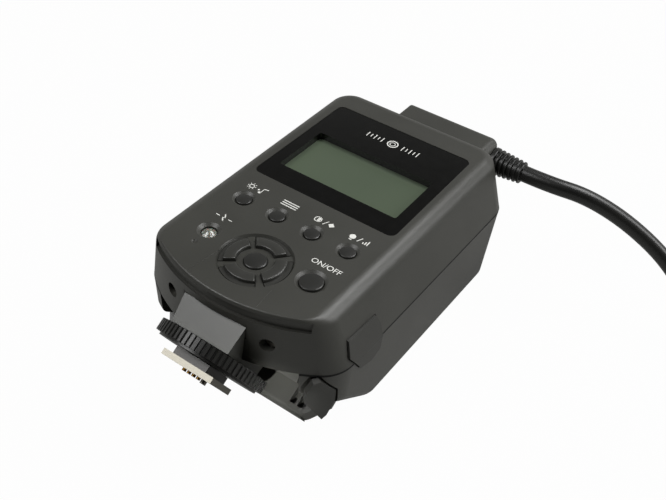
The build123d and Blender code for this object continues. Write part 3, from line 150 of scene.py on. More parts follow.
def moulded(name, dark, light, rough, grain_mm, depth_mm):
    """dark and light are the colours that the broad noise moves between"""
    finish, tree = new_finish(name)
    place = add(tree, "ShaderNodeTexCoord").outputs["Object"]
    broad = add(
        tree, "ShaderNodeTexNoise", {"Scale": PATCHES, "Detail": 3.0}, {"Vector": place}
    )
    colour = two_tone(tree, broad.outputs[0], dark, light, ends=(0.3, 0.7))
    grain = add(
        tree, "ShaderNodeTexNoise", {"Scale": 1 / (grain_mm * MM), "Detail": 2.0},
        {"Vector": place},
    )
    shine = add(
        tree, "ShaderNodeMapRange", {"To Min": rough - UNEVEN, "To Max": rough + UNEVEN},
        {"Value": grain.outputs[0]},
    )
    bump = add(
        tree, "ShaderNodeBump", {"Distance": depth_mm * MM}, {"Height": grain.outputs[0]}
    )
    shader = add(
        tree, "ShaderNodeBsdfPrincipled", {"IOR": PLASTIC_IOR},
        {"Base Color": colour.outputs[0], "Roughness": shine.outputs[0],
         "Normal": bump.outputs[0]},
    )
    finish_off(tree, shader)
    return finish


# ABS with a spark-eroded grain: a soft sheen, never a mirror
shell_abs = moulded("spark_eroded_abs", "#31312D", "#373733", 0.42, 0.22, 0.02)
# polished ABS: almost black, with sharp reflections
panel_abs = moulded("piano_black_panel", "#070706", "#0A0A09", 0.18, 3.0, 0.003)
# keys are moulded smoother than the shell, and darker
key_abs = moulded("satin_key_abs", "#20201E", "#272725", 0.36, 0.3, 0.006)
# the pad's keys are nearly as pale as the shell
pad_abs = moulded("satin_pad_abs", "#2B2B28", "#32322F", 0.38, 0.3, 0.008)
# glass-filled nylon of the foot: a satin face that catches the light, and a colour lighter than
# the shell's, which is a painted sheen for the front box's reflection in it
foot_painted_sheen_nylon = moulded("satin_foot_painted_sheen", "#4C4D49", "#565752", 0.34, 0.3, 0.008)
# plain black nylon of the ribbed wheel
wheel_nylon = moulded("ribbed_wheel_nylon", "#151513", "#1D1D1B", 0.38, 0.25, 0.01)
# soft rubber covers: no gloss
cover_rubber = moulded("soft_cover_rubber", "#2D2D2A", "#343431", 0.6, 0.3, 0.015)
# the cord's sheath and its strain reliefs: PVC, satin and very dark
sheath_pvc = moulded("satin_sheath_pvc", "#121211", "#191917", 0.36, 0.5, 0.02)
# unpolished ABS of the parts inside
tray_abs = moulded("plain_tray_abs", "#2A2A28", "#30302E", 0.5, 0.3, 0.015)
# epoxy that chips and coils are cast in: matt and fine-grained
chip_epoxy = moulded("moulded_chip_epoxy", "#151515", "#1C1C1B", 0.55, 0.15, 0.01)
# the insulating block behind the contacts: brown phenolic, darker than the shell
block_phenolic = moulded("brown_phenolic_block", "#1C1711", "#292016", 0.4, 0.3, 0.01)
# no material at all: the shadow in the joint of the shells, as dark as a narrow gap looks
seam_shadow = moulded("seam_shadow", "#020202", "#040404", 0.95, 0.5, 0.004)
print("plastics", len(bpy.data.materials))

# %% [markdown]
# Metal here is bare: a nickelled foot plate and screws, gold-plated contacts and polished
# reflectors. Rolling and brushing leave long fine lines, so the noise is stretched along one
# axis, and the roughness follows it. The IOR of a metal stays at the default.

# %% Brushed and plated metal
LINE_DEPTH = 0.004  # mm
SMOOTHER, ROUGHER = 0.06, 0.08  # how far the lines move the roughness


def metal(name, dark, light, rough, line_mm, stretch):
    finish, tree = new_finish(name)
    place = add(tree, "ShaderNodeTexCoord").outputs["Object"]
    drawn = add(tree, "ShaderNodeMapping", {"Scale": stretch}, {"Vector": place})
    lines = add(
        tree, "ShaderNodeTexNoise", {"Scale": 1 / (line_mm * MM), "Detail": 3.0},
        {"Vector": drawn.outputs[0]},
    )
    colour = two_tone(tree, lines.outputs[0], dark, light)
    shine = add(
        tree, "ShaderNodeMapRange", {"To Min": rough - SMOOTHER, "To Max": rough + ROUGHER},
        {"Value": lines.outputs[0]},
    )
    bump = add(
        tree, "ShaderNodeBump", {"Distance": LINE_DEPTH * MM}, {"Height": lines.outputs[0]}
    )
    shader = add(
        tree, "ShaderNodeBsdfPrincipled", {"Metallic": 1.0},
        {"Base Color": colour.outputs[0], "Roughness": shine.outputs[0],
         "Normal": bump.outputs[0]},
    )
    finish_off(tree, shader)
    return finish


# nickelled steel, rolled across the foot
plate_nickel = metal("nickelled_steel", "#66635B", "#7E7B73", 0.36, 0.3, (0.15, 1.0, 1.0))
# a thin plating of hard gold, a little worn
contact_gold = metal("gold_plated_contact", "#5E4320", "#8A6835", 0.34, 0.3, (1.0, 1.0, 1.0))
# bright rolled aluminium sheet behind the flash tubes
reflector_aluminium = metal(
    "polished_aluminium", "#D8D8D6", "#EFEFED", 0.12, 1.0, (1.0, 1.0, 0.2)
)
print("metals", len(bpy.data.materials))

# %% [markdown]
# A liquid-crystal display that is off is a dull green-grey layer under flat glass. The layer's
# colour is a broad soft noise between two near greens, and a clear coat stands for the glass.

# %% Display glass
CLOUDS = 30.0  # per metre
display, tree = new_finish("liquid_crystal_glass")
place = add(tree, "ShaderNodeTexCoord").outputs["Object"]
cloud = add(tree, "ShaderNodeTexNoise", {"Scale": CLOUDS, "Detail": 1.0}, {"Vector": place})
tint = two_tone(tree, cloud.outputs[0], "#454F41", "#4F5A48")
glass_shader = add(
    tree, "ShaderNodeBsdfPrincipled",
    {"Roughness": 0.3, "IOR": 1.45, "Coat Weight": 0.4, "Coat Roughness": 0.1},
    {"Base Color": tint.outputs[0]},
)
finish_off(tree, glass_shader)
print("display", display.name)

# %% [markdown]
# The pilot key is a milky, translucent lens over a small lamp. Its bumps scatter the light, so
# it looks mottled: each bump is pale in its middle and grey around it. Subsurface light gives
# the milk. A coarse cell pattern gives the bumps, and also paints their highlights into the
# colour: pale in the middle of each cell, grey at its edge.

# %% Milky lens
LENS_BUMP, LENS_BUMP_DEPTH = 0.9, 0.15  # mm, how wide and how deep
milky, tree = new_finish("milky_polycarbonate")
place = add(tree, "ShaderNodeTexCoord").outputs["Object"]
cells = add(tree, "ShaderNodeTexVoronoi", {"Scale": 1 / (LENS_BUMP * MM)}, {"Vector": place})
# painted highlight: pale in the middle of each cell and grey at its edge, for the light that
# each bump scatters
bump_painted_highlight = two_tone(tree, cells.outputs["Distance"], "#8E8F86", "#4C4D46")
facets = add(
    tree, "ShaderNodeBump", {"Distance": LENS_BUMP_DEPTH * MM},
    {"Height": cells.outputs["Distance"]},
)
lens_shader = add(
    tree, "ShaderNodeBsdfPrincipled",
    {"Roughness": 0.14, "IOR": 1.58, "Subsurface Weight": 0.3, "Subsurface Scale": 0.001,
     "Coat Weight": 0.6},
    {"Base Color": bump_painted_highlight.outputs[0], "Normal": facets.outputs[0]},
)
finish_off(tree, lens_shader)
print("lens", milky.name)

# %% [markdown]
# The light windows of the ring lamp are frosted acrylic with rows of tiny prisms on the inside.
# They look white with faint stripes. The stripes are 1.2 mm apart, a little coarser than real
# ones, so that they show.

# %% Frosted windows
PRISM_PITCH, PRISM_DEPTH = 1.2, 0.06  # mm
WAVE_PERIOD = 6.283  # of the wave texture, in its own units
frosted, tree = new_finish("frosted_acrylic")
place = add(tree, "ShaderNodeTexCoord").outputs["Object"]
rows = add(
    tree, "ShaderNodeTexWave",
    {"Scale": 1 / (PRISM_PITCH * MM) / WAVE_PERIOD, "Distortion": 0.0, "bands_direction": "Y"},
    {"Vector": place},
)
milk = two_tone(tree, rows.outputs[0], "#D3D4CF", "#EAEBE7")
ridges = add(
    tree, "ShaderNodeBump", {"Distance": PRISM_DEPTH * MM}, {"Height": rows.outputs[0]}
)
frosted_shader = add(
    tree, "ShaderNodeBsdfPrincipled",
    {"Roughness": 0.3, "IOR": 1.49, "Transmission Weight": 0.25},
    {"Base Color": milk.outputs[0], "Normal": ridges.outputs[0]},
)
finish_off(tree, frosted_shader)
print("windows", frosted.name)

# %% [markdown]
# A clear acrylic dome stands over each focusing lamp, and the flash tubes are clear glass. Both
# are nearly colourless and smooth, and a fine haze makes the gloss uneven.

# %% Lamps and tubes
HAZE = 400.0  # per metre
HAZE_LOW, HAZE_HIGH = 0.05, 0.16  # roughness
clear, tree = new_finish("clear_acrylic")
place = add(tree, "ShaderNodeTexCoord").outputs["Object"]
haze = add(tree, "ShaderNodeTexNoise", {"Scale": HAZE}, {"Vector": place})
soft = add(
    tree, "ShaderNodeMapRange", {"To Min": HAZE_LOW, "To Max": HAZE_HIGH},
    {"Value": haze.outputs[0]},
)
clear_shader = add(
    tree, "ShaderNodeBsdfPrincipled",
    {"Base Color": linear("#E8ECEC"), "IOR": 1.49, "Transmission Weight": 0.8},
    {"Roughness": soft.outputs[0]},
)
finish_off(tree, clear_shader)
print("clear parts", clear.name)

# %% [markdown]
# Inside the shells are circuit boards and cells. A board's green lacquer covers copper tracks,
# which show as slightly lighter lines: a brick pattern with wide mortar is near enough. A cell
# has a printed sleeve with a lighter band near one end. The legends on the face are
# pad-printed ink, which is white, matt and a little uneven.

# %% Boards, cells and ink
TRACK_PITCH = 9.0  # mm
CELL_PRINT = 0.03  # m, the length along Y that the sleeve's colours are laid over
board_lacquer, tree = new_finish("lacquered_circuit_board")
place = add(tree, "ShaderNodeTexCoord").outputs["Object"]
tracks = add(
    tree, "ShaderNodeTexBrick",
    {"Scale": 1 / (TRACK_PITCH * MM), "Mortar Size": 0.03, "Color1": linear("#1C5A2E"),
     "Color2": linear("#1A5129"), "Mortar": linear("#3E8148")},
    {"Vector": place},
)
lacquer = add(
    tree, "ShaderNodeBsdfPrincipled", {"Roughness": 0.3, "IOR": PLASTIC_IOR},
    {"Base Color": tracks.outputs[0]},
)
finish_off(tree, lacquer)
cell_sleeve, tree = new_finish("printed_cell_sleeve")
place = add(tree, "ShaderNodeTexCoord").outputs["Object"]
along = add(tree, "ShaderNodeSeparateXYZ", links={0: place})
band = add(
    tree, "ShaderNodeMapRange", {"From Min": 0.0, "From Max": CELL_PRINT},
    {"Value": along.outputs["Y"]},
)
print_ramp = two_tone(tree, band.outputs[0], "#23303F", "#9A9D9C", ends=(0.0, 0.72))
print_ramp.color_ramp.interpolation = "CONSTANT"
sleeve = add(
    tree, "ShaderNodeBsdfPrincipled",
    {"Roughness": 0.28, "IOR": PLASTIC_IOR, "Coat Weight": 0.3},
    {"Base Color": print_ramp.outputs[0]},
)
finish_off(tree, sleeve)
legend_ink = moulded("pad_printed_ink", "#C9C9C4", "#DDDDD8", 0.5, 0.4, 0.004)
print("finishes", len(bpy.data.materials))

# %% [markdown]
# Each CAD node keeps its shape and gets its finish. The record already says which slot a node
# belongs to, so one table from slot to finish dresses them all.

# %% Dress the CAD nodes
finishes = {
    "body_plastic": shell_abs, "panel_gloss": panel_abs, "lcd_green": display,
    "key_plastic": key_abs, "pilot_milky": milky, "cover_rubber": cover_rubber,
    "foot_plastic": foot_painted_sheen_nylon, "wheel_plastic": wheel_nylon, "bright_metal": plate_nickel,
    "gold_contact": contact_gold, "cord_rubber": sheath_pvc, "board_green": board_lacquer,
    "chip_black": chip_epoxy, "cell_wrap": cell_sleeve, "tray_plastic": tray_abs,
    "diffuser_white": frosted, "reflector_metal": reflector_aluminium, "tube_glass": clear,
    "lamp_clear": clear,
}
slot_of = {part["node"]: part["material_slot"] for part in frame["record"]["subparts"]}
for name, node in frame["nodes"].items():
    if not node.material_slots:
        node.data.materials.append(None)
    for place in node.material_slots:
        place.material = finishes[slot_of[name]]
for place in frame["nodes"]["contact_block"].material_slots:
    place.material = block_phenolic
print("dressed", len(frame["nodes"]))

# %% [markdown]
# New pieces are drawn in millimetres and finished by one helper. It turns the mesh into an
# object, shrinks it to metres, softens its shading between sharp edges, and ties it to the body
# that it moves with.

# %% Finish a new piece
SHARP = 35.0  # degrees: a steeper edge keeps its hard shading
slot_by_finish = {finish.name: slot for slot, finish in finishes.items()}
slot_by_finish[pad_abs.name] = "key_plastic"


def finish_piece(name, shape, finish, body, stands_for=(), sharp=SHARP, place=None):
    if place is not None:
        shape.transform(place)
    shape.transform(Matrix.Scale(MM, 4))
    mesh = bpy.data.meshes.new(name)
    shape.to_mesh(mesh)
    shape.free()
    mesh.materials.append(finish)
    mesh.shade_smooth()
    mesh.set_sharp_from_angle(angle=math.radians(sharp))
    piece = into_scene(name, mesh)
    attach(piece, body)
    if stands_for:
        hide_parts(*stands_for)
    return piece


# %% [markdown]
# Round pieces start from a profile, which is turned about an axis as on a lathe. Pieces made of
# several shapes are joined at the end, through a mesh that is thrown away.

# %% Turn and join shapes
TURN_STEPS = 48
MERGE = 0.001  # mm


def turned(profile):
    """a shape turned about Z, from (radius, height) points that start and end on the axis"""
    shape = bmesh.new()
    points = [shape.verts.new((radius, 0, height)) for radius, height in profile]
    lines = [shape.edges.new(pair) for pair in zip(points, points[1:])]
    bmesh.ops.spin(
        shape, geom=points + lines, cent=(0, 0, 0), axis=(0, 0, 1), angle=math.tau,
        steps=TURN_STEPS, use_merge=True,
    )
    bmesh.ops.remove_doubles(shape, verts=shape.verts, dist=MERGE)
    bmesh.ops.recalc_face_normals(shape, faces=shape.faces)
    return shape


def joined(parts):
    """one shape made of several, which are used up"""
    whole = bmesh.new()
    for part in parts:
        scrap = bpy.data.meshes.new("scrap")
        part.to_mesh(scrap)
        part.free()
        whole.from_mesh(scrap)
        bpy.data.meshes.remove(scrap)
    return whole


# %% [markdown]
# The cord is one smooth curve. It leaves its sleeve straight, sinks to the table, lies in a
# neat coil of two turns behind the control unit, and goes on to the ring lamp. The points are
# the control points of a NURBS curve, so it only passes near them, as a real cord rounds its
# corners. Twelve points make each turn of the coil.

# %% Cord
CORD_R = 3.0
COIL_X, COIL_Y = 162.0, 20.7
TO_COIL = [
    (40.3, 65.5, 45.4), (51, 65.5, 45.4), (64, 69.5, 44.2), (80, 74, 37.5), (97, 77.5, 26.5),
    (112, 74.5, 14.5), (125, 66.5, 6.1), (138, 57.0, 3.8), (156, 57.0, 3.8),
]
TO_HEAD = [(168, 50.4, 10.4), (181, 50.4, 10.4), (194.5, 46.2, 10.4), (208, 46.2, 10.4)]
# each half turn: (Y from the coil's middle, Z) where it starts and where it ends, and its side
HALF_TURNS = [
    ((36.3, 3.8), (-33.0, 3.8), 1), ((-33.0, 3.8), (29.7, 3.8), -1),
    ((29.7, 3.8), (-26.4, 10.4), 1), ((-26.4, 10.4), (29.7, 10.4), -1),
]
POINTS = 6  # control points in a half turn
SPREAD = 180 / POINTS  # degrees from one to the next
coil_points = []
for (y0, z0), (y1, z1), side in HALF_TURNS:
    reach = abs(y1 - y0) / 2 / math.cos(math.radians(SPREAD / 2))
    way = 1 if y1 < y0 else -1
    for step in range(POINTS):
        angle = math.radians(SPREAD * (step + 0.5))
        climb = (1 - math.cos(angle)) / 2
        coil_points.append((
            COIL_X + side * reach * math.sin(angle),
            COIL_Y + (y0 + y1) / 2 + way * reach * math.cos(angle),
            z0 + (z1 - z0) * climb,
        ))
route = TO_COIL + coil_points + TO_HEAD
curve = bpy.data.curves.new("cord", "CURVE")
curve.dimensions = "3D"
line = curve.splines.new("NURBS")
line.points.add(len(route) - 1)
for point, place in zip(line.points, all_at(route)):
    point.co = (*place, 1)
line.order_u = 3
line.use_endpoint_u = True
line.resolution_u = 6
curve.bevel_depth = CORD_R * MM
curve.bevel_resolution = 8
curve.use_fill_caps = True
curve.materials.append(sheath_pvc)
cord = into_scene("cord", curve)
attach(cord, "control_unit")
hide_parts("cord_to_coil", "cord_coil", "cord_to_head")
print("cord points", len(route))

# %% [markdown]
# A strain relief is a tapered sleeve with deep ribs, so that the cord can't bend sharply where
# it leaves a housing. A real one is soft: every rib has a round edge. Its profile is turned
# about its axis, and the turned shape is laid along the cord.

# %% Strain reliefs
BOOT_L = 12.4
BOOT_RIBS = 6
BORE_R, NECK_R, NECK_L = 3.05, 3.4, 2.8  # the neck sits in the housing's hole
COLLAR_R, COLLAR_L = 5.1, 1.6
TIP_R = 4.1
GROOVE_R = 3.7
ROUND = 0.2  # how much an edge is taken off
profile = [
    (BORE_R, -NECK_L), (NECK_R, -NECK_L), (NECK_R, 0.0), (COLLAR_R - ROUND, 0.0),
    (COLLAR_R, ROUND), (COLLAR_R, COLLAR_L - ROUND), (COLLAR_R - ROUND, COLLAR_L),
]
pitch = (BOOT_L - COLLAR_L) / BOOT_RIBS
for rib in range(BOOT_RIBS):
    start = COLLAR_L + rib * pitch
    middle = start + pitch * 0.5
    crest = COLLAR_R + (TIP_R - COLLAR_R) * (rib + 1) / BOOT_RIBS
    profile += [(GROOVE_R, start + 0.1), (GROOVE_R, middle)]
    profile += [(crest - ROUND, middle + 0.05), (crest, start + pitch * 0.62)]
    profile += [(crest, start + pitch * 0.88), (crest - ROUND, start + pitch * 0.98)]
profile += [(BORE_R, BOOT_L), (BORE_R, -NECK_L)]
RELIEFS = [
    ("unit_strain_relief", (27.9, 65.5, 45.4), 90, "cable_boot"),
    ("lamp_strain_relief", (220.3, 46.2, 10.4), -90, "head_boot"),
]
for name, foot, lean, node in RELIEFS:
    lay = Matrix.Translation(foot) @ Matrix.Rotation(math.radians(lean), 4, "Y")
    finish_piece(name, turned(profile), sheath_pvc, "control_unit", (node,), place=lay)
print("strain reliefs", len(RELIEFS))

# %% [markdown]
# The keys are small pegs that end just under the face. Moulded keys have a round edge and a
# faintly domed top, which catches a thin ring of light. Turning a short profile gives both.

# %% Round keys
KEY_FOOT = 51.5
KEY_FLANGE = 0.8  # how thick the flange is, and how far it stands out
KEY_SHARP = 50.0  # degrees
EDGE_STEPS = 4
PAD_X, PAD_Y = 0.9, -39.8
FUNCTION_XS = [-20.025, -6.675, 6.675, 20.025]
FUNCTION_Y = -19.5
# node, X, Y, radius, height of the top, rise of the dome, radius of the edge, finish
ROUND_KEYS = [
    (f"function_button_{number}", x, FUNCTION_Y, 2.6, 54.95, 0.15, 0.3, key_abs)
    for number, x in enumerate(FUNCTION_XS, 1)
] + [
    ("power_button", 19.1, -36.9, 3.7, 55.0, 0.1, 0.35, key_abs),
    ("pad_centre_key", PAD_X, PAD_Y, 3.6, 55.0, 0.2, 0.5, key_abs),
    ("pilot_button", -18.3, -38.3, 2.5, 55.0, 1.0, 0.7, milky),
]


def key_profile(radius, top, dome, edge):
    """from the flange under the face up to the middle of the top"""
    rim, shoulder = radius + KEY_FLANGE, KEY_FOOT + KEY_FLANGE
    points = [(0, KEY_FOOT), (rim, KEY_FOOT), (rim, shoulder), (radius, shoulder)]
    corner_r, corner_z = radius - edge, top - dome - edge
    for step in range(EDGE_STEPS + 1):
        angle = math.radians(90 * step / EDGE_STEPS)
        points.append((corner_r + edge * math.cos(angle), corner_z + edge * math.sin(angle)))
    points += [(corner_r * share, top - dome * share**2) for share in (0.75, 0.5, 0.25, 0)]
    return points


for node, x, y, radius, top, dome, edge, finish in ROUND_KEYS:
    peg = turned(key_profile(radius, top, dome, edge))
    spot = Matrix.Translation((x, y, 0))
    finish_piece(f"{node}_cap", peg, finish, node, (node,), sharp=KEY_SHARP, place=spot)
print("round keys", len(ROUND_KEYS))

# %% [markdown]
# The four keys of the pad are quarter rings with a web between them. The section of the ring
# is spun through the key's angle, and the edges on top are bevelled.

# %% Ring keys
RING_STEPS = 20
STEEP = 0.8  # radians: edges of the top that fold more than this are bevelled


def ring_key(inner, outer, half_turn, way, z0, z1, edge, step=0.0, step_z=0.0):
    """half_turn and way are degrees: half the key's angle, and where its middle points"""
    shape = bmesh.new()
    corners = [(inner, z0), (outer, z0), (outer, z1), (inner, z1)]
    if step:
        corners[2:3] = [(outer, step_z), (outer - step, step_z), (outer - step, z1)]
    points = [shape.verts.new((radius, 0, z)) for radius, z in corners]
    section = shape.faces.new(points)
    first = Matrix.Rotation(math.radians(way - half_turn), 3, "Z")
    bmesh.ops.rotate(shape, verts=points, cent=(0, 0, 0), matrix=first)
    bmesh.ops.spin(
        shape, geom=points + list(section.edges) + [section], cent=(0, 0, 0), axis=(0, 0, 1),
        angle=math.radians(2 * half_turn), steps=RING_STEPS, use_merge=False,
    )
    bmesh.ops.remove_doubles(shape, verts=shape.verts, dist=MERGE)
    bmesh.ops.recalc_face_normals(shape, faces=shape.faces)
    level = [e for e in shape.edges if all(abs(v.co.z - z1) < 0.01 for v in e.verts)]
    top = [e for e in level if len(e.link_faces) == 2 and e.calc_face_angle(0) > STEEP]
    bmesh.ops.bevel(
        shape, geom=top, offset=edge, segments=3, profile=0.5, affect="EDGES", material=-1,
        clamp_overlap=True,
    )
    return shape


# %% [markdown]
# Each key is a cap on a wider flange, which lies under the face and keeps the key in. The cap
# has a step at its outer side, level with the dish around the pad.

# %% Pad keys
PAD_INNER, PAD_OUTER, PAD_TOP = 5.9, 11.0, 55.4
PAD_STEP, PAD_STEP_Z = 1.5, 54.3
CAP_EDGE, FLANGE_EDGE = 0.4, 0.05
WEB_HALF = 0.65  # half the web between two keys
KEY_GAP = 0.15  # between a key and the web
WEB_LAP = 0.325  # how far the flange reaches under the web
half_key = 45 - math.degrees((WEB_HALF + KEY_GAP) / PAD_INNER)
half_flange = 45 - math.degrees((WEB_HALF - WEB_LAP) / PAD_INNER)
for name, way in (("right", 0), ("up", 90), ("left", 180), ("down", 270)):
    node = f"pad_key_{name}"
    cap = ring_key(
        PAD_INNER, PAD_OUTER, half_key, way, KEY_FOOT, PAD_TOP, CAP_EDGE,
        PAD_STEP, PAD_STEP_Z,
    )
    flange = ring_key(
        PAD_INNER - KEY_FLANGE, PAD_OUTER + KEY_FLANGE, half_flange, way,
        KEY_FOOT, KEY_FOOT + KEY_FLANGE, FLANGE_EDGE,
    )
    spot = Matrix.Translation((PAD_X, PAD_Y, 0))
    finish_piece(f"{node}_cap", joined([cap, flange]), pad_abs, node, (node,), place=spot)
print("pad keys", 4)

# %% [markdown]
# The joint between the two shells is a thin dark line. The solids meet exactly, so nothing
# shows there. A band cut out of a copy of the lower shell's mesh, pushed out by a few
# hundredths of a millimetre and made dark, draws that line all round and stops where the real
# one does.

# %% Joint of the shells
SEAM_Z, SEAM_H = 34.2, 0.9
SEAM_DROP = 0.01  # the band ends this far below the joint
SEAM_PROUD = 0.04
SAME_PLACE, ON_PLANE = 0.000002, 0.000001  # m, as the shell's mesh is in metres
seam = bmesh.new()
seam.from_mesh(frame["nodes"]["base_shell"].data)
bmesh.ops.remove_doubles(seam, verts=seam.verts, dist=SAME_PLACE)
for height, upwards in ((SEAM_Z - SEAM_H, -1), (SEAM_Z - SEAM_DROP, 1)):
    bmesh.ops.bisect_plane(
        seam, geom=list(seam.verts) + list(seam.edges) + list(seam.faces), dist=ON_PLANE,
        plane_co=at(0, 0, height), plane_no=(0, 0, upwards), clear_outer=True,
    )
inside = [
    f for f in seam.faces
    if abs(f.normal.z) > 0.5 or f.normal.dot(f.calc_center_median() * Vector((1, 1, 0))) < 0
]
bmesh.ops.delete(seam, geom=inside, context="FACES")
seam.transform(Matrix.Scale(1 / MM, 4))
seam.normal_update()
for corner in seam.verts:
    outward = Vector((corner.normal.x, corner.normal.y, 0))
    if outward.length > 0:
        corner.co += outward.normalized() * SEAM_PROUD
print("joint line faces", len(seam.faces))
finish_piece("shell_joint_line", seam, seam_shadow, "control_unit")

# %% [markdown]
# Two faint ridges cross the face from the pad to the foot's edge. They are left by the mould's
# insert. Each is a thin strip with a round back that stands a few hundredths of a millimetre
# proud.

# %% Mould ridges on the face
RIDGE_W, RIDGE_LOW, RIDGE_HIGH = 0.3, 54.9, 55.06
RIDGE_ROUND = 0.45  # of the ridge's smaller side
RIDGES = [
    ("mould_ridge_left", (-10.0, -42.6), (-11.4, -55.6)),
    ("mould_ridge_right", (12.5, -46.8), (13.1, -55.2)),
]


def strip(start, end):
    shape = bmesh.new()
    bmesh.ops.create_cube(shape, size=1.0)
    run = Vector((*end, 0)) - Vector((*start, 0))
    level = (RIDGE_LOW + RIDGE_HIGH) / 2
    middle = (Vector((*start, level)) + Vector((*end, level))) / 2
    tall = RIDGE_HIGH - RIDGE_LOW
    bmesh.ops.scale(shape, vec=(run.length, RIDGE_W, tall), verts=shape.verts)
    ridge = [e for e in shape.edges if all(v.co.z > 0 for v in e.verts)]
    bmesh.ops.bevel(
        shape, geom=ridge, offset=min(RIDGE_W, tall) * RIDGE_ROUND, segments=2, profile=0.5,
        affect="EDGES", material=-1,
    )
    lean = Matrix.Rotation(math.atan2(run.y, run.x), 4, "Z")
    shape.transform(Matrix.Translation(middle) @ lean)
    return shape


for name, start, end in RIDGES:
    finish_piece(name, strip(start, end), shell_abs, "control_unit")
print("mould ridges", len(RIDGES))

# %% [markdown]
# Legends are printed in white just above the keys. Each is flat work a few hundredths of a
# millimetre thick, made of rings, bars and discs.

# %% Parts of a sign
FACE_Z = 55.0
INK_T = 0.03
CIRCLE_SIDES = 32


def ring_sign(radius, width):
    shape = bmesh.new()
    bmesh.ops.create_circle(shape, cap_ends=False, radius=radius, segments=CIRCLE_SIDES)
    ends = bmesh.ops.extrude_edge_only(shape, edges=shape.edges)
    inner = [v for v in ends["geom"] if isinstance(v, bmesh.types.BMVert)]
    share = (radius - width) / radius
    bmesh.ops.scale(shape, vec=(share, share, 1), verts=inner)
    return shape


def bar_sign(x0, y0, x1, y1, width):
    shape = bmesh.new()
    bmesh.ops.create_grid(shape, x_segments=1, y_segments=1, size=0.5)
    run = Vector((x1 - x0, y1 - y0, 0))
    bmesh.ops.scale(shape, vec=(run.length, width, 1), verts=shape.verts)
    lean = Matrix.Rotation(math.atan2(run.y, run.x), 4, "Z")
    shape.transform(Matrix.Translation(((x0 + x1) / 2, (y0 + y1) / 2, 0)) @ lean)
    return shape


def disc_sign(radius, x=0.0, y=0.0, sides=CIRCLE_SIDES):
    shape = bmesh.new()
    bmesh.ops.create_circle(shape, cap_ends=True, radius=radius, segments=sides)
    shape.transform(Matrix.Translation((x, y, 0)))
    return shape


def print_sign(name, x, y, parts, z=FACE_Z, size=1.0):
    whole = joined(parts)
    bmesh.ops.recalc_face_normals(whole, faces=whole.faces)
    down = [f for f in whole.faces if f.normal.z < 0]
    bmesh.ops.reverse_faces(whole, faces=down)
    thick = bmesh.ops.extrude_face_region(whole, geom=list(whole.faces))
    raised = [v for v in thick["geom"] if isinstance(v, bmesh.types.BMVert)]
    bmesh.ops.translate(whole, vec=(0, 0, INK_T), verts=raised)
    place = Matrix.Translation((x, y, z)) @ Matrix.Diagonal((size, size, 1, 1))
    finish_piece(name, whole, legend_ink, "control_unit", place=place)


# %% [markdown]
# The legends are generic signs: a small sun beside a musical note, a list, a split disc, a lamp
# beside rising bars, and a flash over the pilot key.

# %% Signs over the keys
SIGN_Y, SIGN_SIZE = -12.9, 1.25
FLASH_AT, FLASH_SIZE = (-18.6, -30.9), 1.2
FINE = 0.22  # the width of a thin line
sun = [ring_sign(0.75, FINE)]
for ray in range(8):
    angle = math.tau * ray / 8
    x, y = math.cos(angle), math.sin(angle)
    sun.append(bar_sign(0.95 * x, 0.95 * y, 1.3 * x, 1.3 * y, FINE))
dot = disc_sign(0.28, 2.3, -0.1)
note = [
    bar_sign(3.4, -0.8, 3.4, 0.9, FINE), bar_sign(3.4, 0.9, 4.6, 1.2, 0.3),
    disc_sign(0.42, 3.1, -0.9),
]
bars = [bar_sign(-2.4, level, 2.4, level, 0.32) for level in (-0.8, 0.0, 0.8)]
split = [
    ring_sign(1.05, 0.24), bar_sign(0, -1.05, 0, 1.05, 0.24),
    bar_sign(0.4, -0.75, 0.4, 0.75, 0.4), bar_sign(1.9, -0.9, 2.7, 0.9, FINE),
    disc_sign(0.9, 4.0, 0.0, sides=4),
]
lamp = [
    disc_sign(0.85), bar_sign(-0.4, -1.2, 0.4, -1.2, 0.25), bar_sign(1.7, -0.9, 2.5, 0.9, FINE),
]
for step in range(3):
    x = 3.3 + 0.6 * step
    lamp.append(bar_sign(x, -0.8, x, -0.2 + 0.5 * step, 0.3))
SIGNS = [
    ("sign_light_and_sound", -22.0, sun + [dot] + note), ("sign_list", -6.6, bars),
    ("sign_split_disc", 4.4, split), ("sign_lamp", 17.4, lamp),
]
for name, x, parts in SIGNS:
    print_sign(name, x, SIGN_Y, parts, size=SIGN_SIZE)
flash = [
    bar_sign(-0.5, 1.2, 0.3, 0.1, 0.32), bar_sign(0.3, 0.1, -0.4, -0.1, 0.3),
    bar_sign(-0.4, -0.1, 0.5, -1.2, 0.32), bar_sign(-2.6, 0, -1.4, 0, 0.25),
    bar_sign(1.4, 0, 2.6, 0, 0.25),
]
print_sign("sign_flash", *FLASH_AT, flash, size=FLASH_SIZE)
print("signs", len(SIGNS) + 1)

# %% [markdown]
# The power key is marked ON/OFF, as on any switch. The words come from a text object, which is
# made a mesh before it is put in place.

# %% Words over the power key
WORDS_AT, WORDS_SIZE = (18.9, -29.2), 2.9
words = bpy.data.curves.new("on_off", "FONT")
words.body = "ON/OFF"
words.size = WORDS_SIZE
words.align_x = "CENTER"
words.align_y = "CENTER"
words_object = into_scene("on_off", words)
words_mesh = bpy.data.meshes.new_from_object(words_object)
bpy.data.objects.remove(words_object)
lettering = bmesh.new()
lettering.from_mesh(words_mesh)
bpy.data.meshes.remove(words_mesh)
print("words", words.body, "faces", len(lettering.faces))
print_sign("on_off_words", *WORDS_AT, [lettering])

# %% [markdown]
# The upper edge of the display panel carries a generic sign: a ring for the ring lamp, with a
# short scale of ticks at each side.

